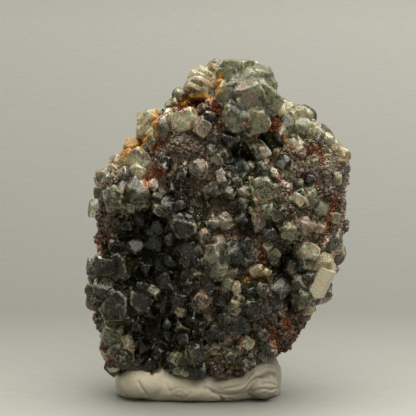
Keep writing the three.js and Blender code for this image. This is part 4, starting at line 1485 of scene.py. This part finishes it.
# A long crystal's form, how far it reaches past its ends and how far it stands out, as shares of
# its width, and where along it its colour is set and how far that spreads
LONG_FORM = np.array([0.5, 0.42, 0.5])
LONG_GROWTH = 1.15
LONG_PAST = 0.3
LONG_STAND = 0.35
LONG_TURN = 1.5
LONG_PLACES = (0.25, 0.5, 0.75)
LONG_SPREAD = 0.6


def grow_long(rng, growth, shapes):
    """Long crystals lying on the front."""
    for start_column, start_row, end_column, end_row, width, tint in LONG_CRYSTALS:
        start = front_point(start_column, start_row)
        end = front_point(end_column, end_row)
        stand = np.array([0, -LONG_STAND * width, 0])
        length = np.linalg.norm(end - start)
        turn = aim_turn(end - start, rng.uniform(0, LONG_TURN))
        size = LONG_FORM * (width, width, length + LONG_PAST * width)
        crystal = placed(one_of(rng, shapes), (start + end) / 2 + stand, turn, size * LONG_GROWTH)
        if within_box(crystal[0]):
            places = [start + (end - start) * share + stand for share in LONG_PLACES]
            growth.add(tint, crystal, places, LONG_SPREAD * width, linear(tint))


# A plate's broken edge: its sides, how unevenly they are spaced, tilted and set in; then how the
# plates tip towards the viewer, in degrees, how much their tilt varies, and their outline
PLATE_SIDES = 9
PLATE_UNEVEN = 0.2
PLATE_CHAMFER = 0.25
PLATE_REACH = (0.7, 1.05)
PLATE_TIP = -16
PLATE_TIP_SPREAD = 10
PLATE_TILT_SPREAD = 12
PLATE_TURN = 3
PLATE_FORM = np.array([1, 0.8, 1])
PLATE_STAND = 0.3
PLATE_TINTS = ("white", "cream")
PLATE_PLACES = (-0.6, 0, 0.6)
PLATE_SPREAD = 0.7


def plate_shape(rng, flatness):
    """A flat plate with uneven broken edges."""
    even = np.arange(PLATE_SIDES) * 2 * math.pi / PLATE_SIDES
    rim = even + rng.uniform(-PLATE_UNEVEN, PLATE_UNEVEN, PLATE_SIDES)
    rise = rng.uniform(-PLATE_CHAMFER, PLATE_CHAMFER, PLATE_SIDES)
    sides = np.stack([np.cos(rim), np.sin(rim), rise], -1)
    normals = np.concatenate([unit(sides), [[0, 0, 1], [0, 0, -1]]])
    reach = np.concatenate([rng.uniform(*PLATE_REACH, PLATE_SIDES), [flatness, flatness]])
    return polyhedron(normals, reach, 0)


def grow_shelf(rng, growth):
    """The pale plates of the shelf, stacked and slanting."""
    for column, row, length, thickness, tilt in SHELF_PLATES:
        centre = front_point(column, row, PLATE_STAND)
        shape = plate_shape(rng, thickness / length)
        slant = math.radians(-tilt + rng.uniform(-PLATE_TILT_SPREAD, PLATE_TILT_SPREAD))
        tip = math.radians(PLATE_TIP + rng.uniform(-PLATE_TIP_SPREAD, PLATE_TIP_SPREAD))
        turn = euler_turn(tip, slant, rng.uniform(0, PLATE_TURN))
        plate = placed(shape, centre, turn, length / 2 * PLATE_FORM)
        if within_box(plate[0]):
            tint = one_of(rng, PLATE_TINTS)
            places = [centre + turn[:, 0] * share * length / 2 for share in PLATE_PLACES]
            growth.add(tint, plate, places, PLATE_SPREAD * thickness, linear(tint))


# Smooth bodies that hold groups of crystals together: column, row, size in mm, sink in mm, tint
BODIES = [
    (245, 93, (11.4, 9.0, 12.8), 4.0, "green"),
    (149, 127, (4.0, 4.6, 6.8), 1.4, "pale"),
    (262, 199, (5.2, 5.0, 6.4), 1.6, "green"),
    (140, 196, (6.0, 5.0, 5.0), 1.4, "green"),
]
BODY_TURN = (0.2, 0.5, 0.1)


def grow_bodies(growth, shapes):
    """The smooth bodies, each in the glass of its tint."""
    for (column, row, size, sink, tint), shape in zip(BODIES, shapes):
        centre = front_point(column, row, -sink)
        body = placed(shape, centre, euler_turn(*BODY_TURN), 0.5 * np.array(size))
        if within_box(body[0]):
            growth.add(tint, body, [centre], 0.5 * max(size), linear(tint))


# The putty

def crest_at(x):
    """The height of the putty's crest at places from left to right."""
    places, heights = np.array(PUTTY_CREST, float).T
    return np.interp(x, places, heights)


def ringed(first, rings, last):
    """A closed surface from a pole, rings of points and a second pole."""
    count, size = rings.shape[:2]
    points = np.concatenate([[first], rings.reshape(-1, 3), [last]])
    faces = []
    for i in range(size):
        j = (i + 1) % size
        faces.append((0, 1 + i, 1 + j))
        for ring in range(count - 1):
            low = 1 + ring * size
            faces.append((low + i, low + size + i, low + size + j))
            faces.append((low + i, low + size + j, low + j))
        top = 1 + (count - 1) * size
        faces.append((len(points) - 1, top + j, top + i))
    return points, np.array(faces)


def squared(wave):
    """A section's coordinate, squarer than an oval's."""
    return np.sign(wave) * np.abs(wave) ** PUTTY_SQUARENESS


def section_turn(count):
    """Angles round a section, against the clock from behind."""
    return -np.arange(count) / count * 2 * math.pi


def putty_roll():
    """The main roll, lying from left to right with its underside flat."""
    middle = (PUTTY_LEFT + PUTTY_RIGHT) / 2
    half = (PUTTY_RIGHT - PUTTY_LEFT) / 2
    along = middle - half * np.cos(np.arange(1, PUTTY_STEPS) / PUTTY_STEPS * math.pi)
    turn = section_turn(PUTTY_SECTION)
    depth = PUTTY_HALF_DEPTH * (1 - ((along - middle) / half) ** 2) ** PUTTY_TAPER
    height = PUTTY_BELLY[0] + PUTTY_BELLY[1] * squared(np.sin(turn))[None]
    z = np.maximum(0, crest_at(along)[:, None] * height)
    y = PUTTY_MIDDLE_Y + depth[:, None] * squared(np.cos(turn))[None]
    rings = np.stack([np.broadcast_to(along[:, None], z.shape), y, z], -1)
    ends = [(x, PUTTY_MIDDLE_Y, PUTTY_POLE) for x in (PUTTY_LEFT, PUTTY_RIGHT)]
    return ringed(ends[0], rings, ends[1])


def smooth_path(stops, count):
    """A smooth curve through points, sampled as often between any two of them."""
    stops = np.array(stops, float)
    padded = np.concatenate([[2 * stops[0] - stops[1]], stops, [2 * stops[-1] - stops[-2]]])
    places = np.linspace(0, len(stops) - 1 - 1e-6, count)
    i = places.astype(int)
    t = (places - i)[:, None]
    a, b, c, d = padded[i], padded[i + 1], padded[i + 2], padded[i + 3]
    bend = (2 * a - 5 * b + 4 * c - d) * t ** 2
    twist = (3 * b - a - 3 * c + d) * t ** 3
    return 0.5 * (2 * b + (c - a) * t + bend + twist)


def putty_fold():
    """A thin roll folded over the front of the main one."""
    centre = smooth_path(FOLD_PATH, FOLD_STEPS + 2)
    along = unit(np.gradient(centre, axis=0))[1:-1]
    side = unit(np.cross(along, (0, 0, 1)))
    up = np.cross(side, along)
    share = np.linspace(0, 1, FOLD_STEPS + 2)[1:-1]
    radius = FOLD_RADIUS * np.sin(share * math.pi) ** FOLD_TAPER
    turn = section_turn(FOLD_SECTION)
    rings = (
        centre[1:-1, None]
        + radius[:, None, None] * side[:, None] * np.cos(turn)[None, :, None]
        + radius[:, None, None] * up[:, None] * np.sin(turn)[None, :, None]
    )
    return ringed(centre[0], rings, centre[-1])


# Its skin: net in mm, smoothing passes and triangles; its dents: cycles per mm, octaves and depth
# in mm
PUTTY_VOXEL = 0.22
PUTTY_PASSES = 8
PUTTY_TRIANGLES = 60000
DENT_SCALE = 0.25
DENT_OCTAVES = (1.0, 2.0, 3)
DENT_DEPTH = 0.22


def putty_mesh():
    """The wad: its roll, fold and lobes worked into one skin, with creases pressed in."""
    heap = Heap()
    heap.add(*putty_roll())
    heap.add(*putty_fold())
    for centre, radii in LOBES:
        points, faces = ball_shape(LOBE_SUBDIVISIONS)
        heap.add(points * radii + centre, faces)
    points, faces, _ = heap.arrays()
    points, faces = skin(points, faces, PUTTY_VOXEL, PUTTY_PASSES)
    dents = np.array([noise.fractal(Vector(p) * DENT_SCALE, *DENT_OCTAVES) for p in points])
    points = points + vertex_normals(points, faces) * (DENT_DEPTH * dents)[:, None]
    points = press_creases(points, faces)
    points[:, 2] = np.maximum(points[:, 2], 0)
    points, faces, _ = thinned(points, faces, np.zeros(len(points)), PUTTY_TRIANGLES)
    return np.clip(points, BOX_LOW, BOX_HIGH), faces


# Creases of the putty: how many places are pressed for each of a path's, how far to its sides
# points can move, in mm, and the paths' columns and rows, with depth and width in mm
CREASE_SAMPLES = 12
CREASE_NEAR = 20
CREASES = [
    ([(204, 387), (212, 391), (220, 397), (224, 402)], 0.5, 0.28),
    ([(212, 392), (225, 395), (235, 394), (243, 391), (248, 387), (252, 382), (258, 378), (269, 377)],
     0.5, 0.25),
    ([(225, 389), (240, 386), (246, 380), (250, 374), (256, 369)], 0.35, 0.3),
    ([(138, 382), (143, 390), (148, 396)], 0.3, 0.25),
    ([(152, 371), (152, 374)], 0.7, 0.25),
    ([(249, 395), (249.6, 395.6)], 0.6, 0.22),
    ([(262, 384), (270, 383), (277, 385)], 0.35, 0.3),
    ([(252, 392), (262, 389), (272, 390), (278, 388)], 0.35, 0.3),
    ([(258, 372), (266, 368), (275, 369)], 0.3, 0.35),
    ([(171, 391), (180, 388), (190, 393), (183, 398), (173, 396)], 0.16, 0.25),
    ([(176, 393), (183, 392), (181, 396)], 0.14, 0.22),
    ([(160, 377), (166, 385), (170, 393)], 0.18, 0.35),
    ([(228, 399), (240, 400), (255, 398), (266, 393)], 0.2, 0.3),
]


def press_creases(points, faces):
    """The putty's points with the creases pressed in, where the viewer sees their paths."""
    tree = tree_of(to_leaning(points), faces)
    normals = vertex_normals(points, faces)
    moved = points.copy()
    for path, depth, width in CREASES:
        spots = []
        for column, row in smooth_path(path, CREASE_SAMPLES * len(path)):
            eye, aim = pixel_ray(column, row)
            hit = tree.ray_cast(Vector(eye), Vector(aim))[0]
            if hit is not None:
                spots.append(np.array(hit) @ LEAN_TURN.T + ROCK_CENTRE)
        if not spots:
            continue
        spots = np.array(spots)
        near = np.flatnonzero(np.abs(points[:, 0] - spots[:, 0].mean()) < CREASE_NEAR)
        far = np.min(np.linalg.norm(points[near, None] - spots[None], axis=2), axis=1)
        moved[near] -= normals[near] * (depth * np.exp(-((far / width) ** 2)))[:, None]
    return moved


# Materials

class Nodes:
    """A material's nodes, with short calls to add and join them."""

    def __init__(self, name):
        self.material = bpy.data.materials.new(name)
        self.material.use_nodes = True
        self.tree = self.material.node_tree
        self.tree.nodes.clear()
        self.output = self.tree.nodes.new("ShaderNodeOutputMaterial")

    def add(self, kind, **inputs):
        node = self.tree.nodes.new("ShaderNode" + kind)
        for key, value in inputs.items():
            self.set(node, key.replace("_", " "), value)
        return node

    def set(self, node, key, value):
        if isinstance(value, bpy.types.NodeSocket):
            self.tree.links.new(value, node.inputs[key])
        else:
            node.inputs[key].default_value = value

    def place(self):
        return self.add("TexCoord").outputs["Object"]

    def noise(self, scale, detail=3.0, roughness=0.55):
        node = self.add(
            "TexNoise", Vector=self.place(), Scale=scale, Detail=detail, Roughness=roughness)
        return node.outputs["Fac"]

    def cells(self, scale, feature="F1"):
        """How far each place is from the middle of its cell, or from the cell's edge."""
        node = self.add("TexVoronoi", Vector=self.place(), Scale=scale)
        node.feature = feature
        return node.outputs["Distance"]

    def math(self, operation, *values, clamp=False):
        node = self.tree.nodes.new("ShaderNodeMath")
        node.operation = operation
        node.use_clamp = clamp
        for i, value in enumerate(values):
            self.set(node, i, value)
        return node.outputs[0]

    def ramp(self, value, low, high, start=0.0, end=1.0):
        node = self.add("MapRange", Value=value, From_Min=low, From_Max=high, To_Min=start, To_Max=end)
        return node.outputs["Result"]

    def blotches(self, texture, limits=(0.3, 0.7), values=(0.0, 1.0)):
        """Noise of a scale, detail and roughness, spread from its limits to two values."""
        return self.ramp(self.noise(*texture), *limits, *values)

    def mix(self, share, first, second, blend="MIX"):
        node = self.tree.nodes.new("ShaderNodeMix")
        node.data_type = "RGBA"
        node.blend_type = blend
        node.clamp_factor = True
        for index, value in ((0, share), (6, first), (7, second)):
            self.set(node, index, value)
        return node.outputs[2]

    def times(self, first, second):
        return self.mix(1.0, first, second, "MULTIPLY")

    def looks(self):
        """The tint and the cloudiness that the points carry."""
        node = self.add("Attribute")
        node.attribute_name = "tint"
        return node.outputs["Color"], node.outputs["Alpha"]

    def bump(self, height, strength, distance):
        node = self.add("Bump", Height=height, Strength=strength, Distance=distance)
        return node.outputs["Normal"]

    def surface(self, **inputs):
        node = self.add("BsdfPrincipled", **inputs)
        self.tree.links.new(node.outputs["BSDF"], self.output.inputs["Surface"])
        return self.material

    def absorb(self, colour, density):
        """The light that the inside takes away."""
        node = self.tree.nodes.new("ShaderNodeVolumeAbsorption")
        node.inputs["Color"].default_value = (*colour, 1)
        node.inputs["Density"].default_value = density
        self.tree.links.new(node.outputs["Volume"], self.output.inputs["Volume"])


FLUORITE_IOR = 1.434
QUARTZ_IOR = 1.544

# Scales of the textures, in cycles per metre
PATCH = 450.0
VEIL = 1100.0
FLECK = 2400.0
CRACK = 800.0
ETCH = 5500.0

# Glass: the cloudiness from which stain makes it dull, and how clear it stays there; its warmer
# patches; how milky brightness and cloudiness make it; the colour that its clear parts lean to;
# its cracks, their milk and the brightness from which they show; and its least and most roughness
DULL_CLOUD = (0.78, 0.9)
DULL_CLEAR = 0.1
WARM = (1.12, 0.9, 0.84, 1)
BRIGHT_MILK = 0.5
CLOUD_MILK = 0.25
MILK_LEVEL = -0.8
MILK_EDGE = 14.0
CLEAR_LIGHT = (1, 0.99, 0.88, 1)
CLEAR_SHARE = 0.6
CRACK_WIDTH = 0.04
CRACK_MILK = 0.6
CRACK_BRIGHT = (0.4, 0.7)
POLISH = (0.15, 0.4)


def glass(name, absorbed, density, ior=FLUORITE_IOR, shades=(0.65, 1.3), milky_clear=0.6):
    """Clear crystal with milky veils: its tint comes from the light that it absorbs."""
    n = Nodes(name)
    n.absorb(absorbed, density)
    tint, cloud = n.looks()
    dull = n.ramp(cloud, *DULL_CLOUD)
    warmth = n.math("MULTIPLY", n.blotches((PATCH, 3, 0.6), (0.5, 0.6)), n.ramp(dull, 0, 1, 1, 0))
    tint = n.mix(warmth, tint, n.times(tint, WARM))
    bright = n.math("POWER", n.add("RGBToBW", Color=tint).outputs["Val"], 0.5)
    level = n.math("MULTIPLY_ADD", cloud, CLOUD_MILK, MILK_LEVEL)
    level = n.math("MULTIPLY_ADD", bright, BRIGHT_MILK, level)
    milk = n.math("ADD", n.noise(VEIL, 6, 0.8), level)
    milk = n.math("MULTIPLY", milk, MILK_EDGE, clamp=True)
    crack = n.ramp(n.cells(CRACK, "DISTANCE_TO_EDGE"), 0.0, CRACK_WIDTH, CRACK_MILK, 0)
    milk = n.math("MAXIMUM", milk, n.math("MULTIPLY", crack, n.ramp(bright, *CRACK_BRIGHT)))
    milky = n.times(tint, n.blotches((FLECK, 5, 0.8), (0.4, 0.6), shades))
    clear = n.mix(CLEAR_SHARE, tint, CLEAR_LIGHT)
    relief = n.mix(0.5, n.noise(VEIL, 5, 0.7), n.noise(ETCH, 3, 0.6))
    milk_clear = n.ramp(milk, 0, 1, 1, milky_clear)
    return n.surface(
        Base_Color=n.mix(milk, clear, milky), IOR=ior,
        Roughness=n.blotches((FLECK, 3, 0.6), (0.35, 0.7), POLISH),
        Transmission_Weight=n.math("MULTIPLY", milk_clear, n.ramp(dull, 0, 1, 1, DULL_CLEAR)),
        Normal=n.bump(relief, 0.035, 0.0002),
    )


# Clouded crystal: what its pale and dark flecks do to its tint
PALE_FLECK = (1.55, 1.5, 1.45, 1)
DARK_FLECK = (0.58, 0.56, 0.53, 1)
WHITE = (1, 1, 1, 1)


def clouded(name, clear, rough):
    """Crystal that is partly see-through and mottled with pale and dark flecks."""
    n = Nodes(name)
    tint, _ = n.looks()
    pale = n.mix(n.blotches((FLECK, 4, 0.7), (0.38, 0.68)), tint, n.times(tint, PALE_FLECK))
    shade = n.mix(n.blotches((VEIL * 1.6, 5, 0.7), (0.34, 0.58)), DARK_FLECK, WHITE)
    relief = n.mix(0.5, n.cells(FLECK), n.noise(ETCH, 2, 0.5))
    return n.surface(
        Base_Color=n.times(pale, shade), IOR=FLUORITE_IOR, Transmission_Weight=clear,
        Roughness=n.blotches((FLECK * 1.3, 2, 0.5), (0.35, 0.7), rough),
        Normal=n.bump(relief, 0.4, 0.00015),
    )


# The dark and light mottle of the rock and of the stain, and the rock's rust
ROCK_MOTTLE = ((0.7, 0.66, 0.62, 1), (1.2, 1.15, 1.05, 1))
ROCK_RUST = (0.16, 0.05, 0.015, 1)
STAIN_SHADES = ((0.5, 0.4, 0.4, 1), (1.3, 1.2, 1, 1))


def rock_material():
    """Dull rock, mottled, with rusty patches."""
    n = Nodes("matrix_rock")
    tint, _ = n.looks()
    shade = n.mix(n.blotches((700, 5, 0.7)), *ROCK_MOTTLE)
    rusty = n.blotches((180, 5, 0.65), (0.6, 0.72))
    relief = n.mix(0.5, n.cells(1400), n.noise(2600, 4, 0.6))
    return n.surface(
        Base_Color=n.mix(rusty, n.times(tint, shade), ROCK_RUST), IOR=QUARTZ_IOR,
        Roughness=n.blotches((1600, 3, 0.6), values=(0.35, 0.8)),
        Normal=n.bump(relief, 0.7, 0.0003),
    )


def stain_material():
    """Earthy grains of rust."""
    n = Nodes("iron_stain")
    tint, _ = n.looks()
    shade = n.mix(n.blotches((2500, 4, 0.7)), *STAIN_SHADES)
    return n.surface(
        Base_Color=n.times(tint, shade),
        Roughness=n.blotches((3000,), values=(0.6, 0.9)),
        Normal=n.bump(n.noise(5000, 3, 0.6), 0.5, 0.0001),
    )


# The putty's mottle and dust; to the right it gets darker, a painted shade, between two places in
# metres
PUTTY_MOTTLE = ((0.41, 0.365, 0.29, 1), (0.54, 0.485, 0.395, 1))
PUTTY_DUST = (0.33, 0.28, 0.21, 1)
PUTTY_PAINTED_SHADE = (0.002, 0.014, 1, 0.62)


def putty_material():
    """Matt putty, mottled by handling, with darker dust and painted shade towards its right end."""
    n = Nodes("putty")
    colour = n.mix(n.blotches((160, 5, 0.6)), *PUTTY_MOTTLE)
    colour = n.mix(n.blotches((900, 4, 0.75), (0.58, 0.75)), colour, PUTTY_DUST)
    # Painted shade, darker towards the right end
    shade = n.ramp(n.add("SeparateXYZ", Vector=n.place()).outputs["X"], *PUTTY_PAINTED_SHADE)
    relief = n.mix(0.55, n.noise(1100, 5, 0.65), n.noise(320, 4, 0.6))
    return n.surface(
        Base_Color=n.times(colour, shade),
        Roughness=n.blotches((500, 3, 0.6), values=(0.55, 0.85)),
        Normal=n.bump(relief, 0.45, 0.0003),
    )


# Pieces

SCENE_SEED = 2024
rng = np.random.default_rng(SCENE_SEED)
shapes = habit_shapes(rng, 0, BROKEN_CORNERS)
plain_shapes = habit_shapes(rng, PLAIN_BEVEL)
small_shapes = crust_shapes(rng)

grown_points, rock_points, rock_faces = rock_mesh()
hidden = np.zeros(len(rock_points))
matrix_points, matrix_faces, _ = thinned(rock_points, rock_faces, hidden, ROCK_TRIANGLES)
rock_piece = mesh_object(
    "matrix_rock", to_frame(matrix_points), matrix_faces, rock_looks(matrix_points), True)
dress(rock_piece, rock_material(), "fluorite_on_quartz")

second_spots, second_normals = scatter(rng, grown_points, rock_faces, SECOND_TRIES, SECOND_SPACING)
growth = Growth()
large = all_crystals(rng)
grow_large(rng, growth, large, shapes, plain_shapes, small_shapes)
grow_second(growth, shapes, *second_places(second_spots, second_normals, large))
grow_long(rng, growth, plain_shapes["cut cube"])
grow_shelf(rng, growth)
grow_bodies(growth, plain_shapes["cuboctahedron"])

# For each glass: the colour that it lets through, its density and the triangles of its skin
GLASSES = {
    "clear": ((0.92, 0.91, 0.82), 120.0, 96000),
    "green": ((0.72, 0.78, 0.52), 160.0, 104000),
    "smoky": ((0.62, 0.59, 0.38), 240.0, 140000),
    "lilac": ((0.84, 0.78, 0.68), 140.0, 112000),
    "amber": ((0.90, 0.66, 0.28), 260.0, 8000),
}
cover = Heap()
cover.add(rock_points, rock_faces)
for key, (absorbed, density, triangles) in GLASSES.items():
    points, faces, _ = growth.raw[key].arrays()
    points, faces = skin(points, faces, SKIN_VOXEL, SKIN_PASSES)
    ridge = sharpness(points, faces)
    points, faces, ridge = thinned(etched(points, faces), faces, ridge, triangles)
    cover.add(points, faces)
    looks = skin_looks(points, ridge, growth.seeds[key])
    piece = mesh_object("fluorite_" + key, to_frame(points), faces, looks, True)
    piece.data.set_sharp_from_angle(angle=FACET_ANGLE)
    dress(piece, glass("fluorite_" + key, absorbed, density), "fluorite_on_quartz")
crystal_piece("phantoms", growth.phantoms, clouded("phantoms", 0.75, (0.2, 0.5)))
crystal_piece("healed_cracks", growth.flakes, clouded("healed_cracks", 0.2, (0.2, 0.5)))
granular = clouded("granular_clusters", 0.15, (0.25, 0.7))
crystal_piece("granular_clusters", growth.granular, granular, True)

clear_crust, clouded_crust = grow_crust(rng, grown_points, rock_faces, small_shapes)
crystal_piece("crust_clear", clear_crust, clouded("crust_clear", 0.4, (0.1, 0.45)), True)
crystal_piece("crust_clouded", clouded_crust, clouded("crust_clouded", 0.15, (0.25, 0.7)), True)
quartz = glass("quartz", (0.94, 0.92, 0.86), 30.0, QUARTZ_IOR, (0.9, 1.1), 0.3)
crystal_piece("quartz_prisms", grow_quartz(rng), quartz)

for heap in (growth.granular, clear_crust, clouded_crust):
    points, faces, _ = heap.arrays()
    cover.add(points, faces)
cover_points, cover_faces, _ = cover.arrays()
stain = grow_stain(rng, tree_of(cover_points, cover_faces))
crystal_piece("iron_stain", stain, stain_material())

putty_points, putty_faces = putty_mesh()
putty_piece = mesh_object("putty", putty_points * MM, putty_faces, smooth=True)
dress(putty_piece, putty_material(), "mounting_putty")


# Floor, light and camera

# Distances behind the specimen, in metres, and how bright the floor is there, with painted shade
# some way behind it; then the places to its left and right between which its painted shade fades
FLOOR_SHADES = [
    (-0.03, 0.232), (0.02, 0.168), (0.045, 0.138), (0.08, 0.102), (0.2, 0.121), (0.65, 0.19),
]
FLOOR_SIDE_SHADE = (-0.07, 0.07, 0.91, 1.07)
FLOOR_TINT = (1, 1, 0.985, 1)
FLOOR_RADIUS = 2.5
FLOOR_SEGMENTS = 128


def floor():
    """A pale floor with painted shade: darker some way behind the specimen and to its left."""
    n = Nodes("floor")
    place = n.add("SeparateXYZ", Vector=n.place())
    # Painted shade: darker some way behind the specimen and to its left
    shade = FLOOR_SHADES[0][1]
    for (near, _), (far, value) in pairwise(FLOOR_SHADES):
        shade = n.ramp(place.outputs["Y"], near, far, shade, value)
    colour = n.times(n.times(shade, FLOOR_TINT), n.ramp(place.outputs["X"], *FLOOR_SIDE_SHADE))
    colour = n.times(colour, n.blotches((90, 4, 0.6), values=(0.985, 1.015)))
    n.surface(Base_Color=colour, Roughness=n.blotches((300,), values=(0.5, 0.6)))
    bm = bmesh.new()
    bmesh.ops.create_circle(
        bm, cap_ends=True, cap_tris=False, segments=FLOOR_SEGMENTS, radius=FLOOR_RADIUS)
    mesh = bpy.data.meshes.new("floor")
    bm.to_mesh(mesh)
    bm.free()
    mesh.materials.append(n.material)
    linked("floor", mesh)


def soft_light(name, place, aim, size, power, colour):
    """A round, soft light aimed at a place."""
    lamp = bpy.data.lights.new(name, "AREA")
    lamp.shape = "DISK"
    lamp.size = size
    lamp.energy = power
    lamp.color = colour
    made = linked(name, lamp)
    made.location = place
    made.rotation_euler = (Vector(aim) - Vector(place)).to_track_quat("-Z", "Y").to_euler()


# How bright the room is on the viewer's side and behind the specimen, and how far towards each it
# changes, as a share of the way; then the camera's sensor in mm and its nearest and farthest metres
SKY_FRONT = 0.24
SKY_BACK = 0.66
SKY_COLOUR = (1.0, 0.98, 0.83)
SKY_TURN = 0.7
FILM_WIDTH = 36
CLIPS = (0.05, 10)


def sky(front, back, colour):
    """A soft room, darker on the viewer's side than behind the specimen."""
    world = bpy.data.worlds.new("soft_room")
    world.use_nodes = True
    nodes, links = world.node_tree.nodes, world.node_tree.links
    light = nodes["Background"]
    light.inputs["Color"].default_value = (*colour, 1)
    split = nodes.new("ShaderNodeSeparateXYZ")
    links.new(nodes.new("ShaderNodeTexCoord").outputs["Generated"], split.inputs[0])
    level = nodes.new("ShaderNodeMapRange")
    links.new(split.outputs["Y"], level.inputs["Value"])
    limits = {"From Min": -SKY_TURN, "From Max": SKY_TURN, "To Min": front, "To Max": back}
    for key, value in limits.items():
        level.inputs[key].default_value = value
    links.new(level.outputs["Result"], light.inputs["Strength"])
    bpy.context.scene.world = world


def camera():
    """The viewer's place, with the whole picture in the frame."""
    lens = bpy.data.cameras.new("camera")
    lens.sensor_width = FILM_WIDTH
    lens.lens = FILM_WIDTH * VIEW_DISTANCE / (MM_PER_PIXEL * PICTURE_SIZE)
    lens.clip_start, lens.clip_end = CLIPS
    made = linked("camera", lens)
    made.location = to_frame(EYE)
    made.rotation_euler = (math.pi / 2 - LEAN, 0, 0)
    bpy.context.scene.camera = made


# Each light's place and size in metres, power in watts and colour
MIDDLE = ROCK_CENTRE * MM
LIGHTS = {
    "overhead": ((0.12, 0.1, 1.3), 2.2, 59.5, (1, 0.98, 0.86)),
    "front_fill": ((0.3, -1.0, 0.95), 0.8, 6.0, (1, 0.97, 0.83)),
}

floor()
camera()
sky(SKY_FRONT, SKY_BACK, SKY_COLOUR)
for name, (place, size, power, colour) in LIGHTS.items():
    soft_light(name, place, MIDDLE, size, power, colour)
bpy.context.scene.view_settings.view_transform = "Standard"
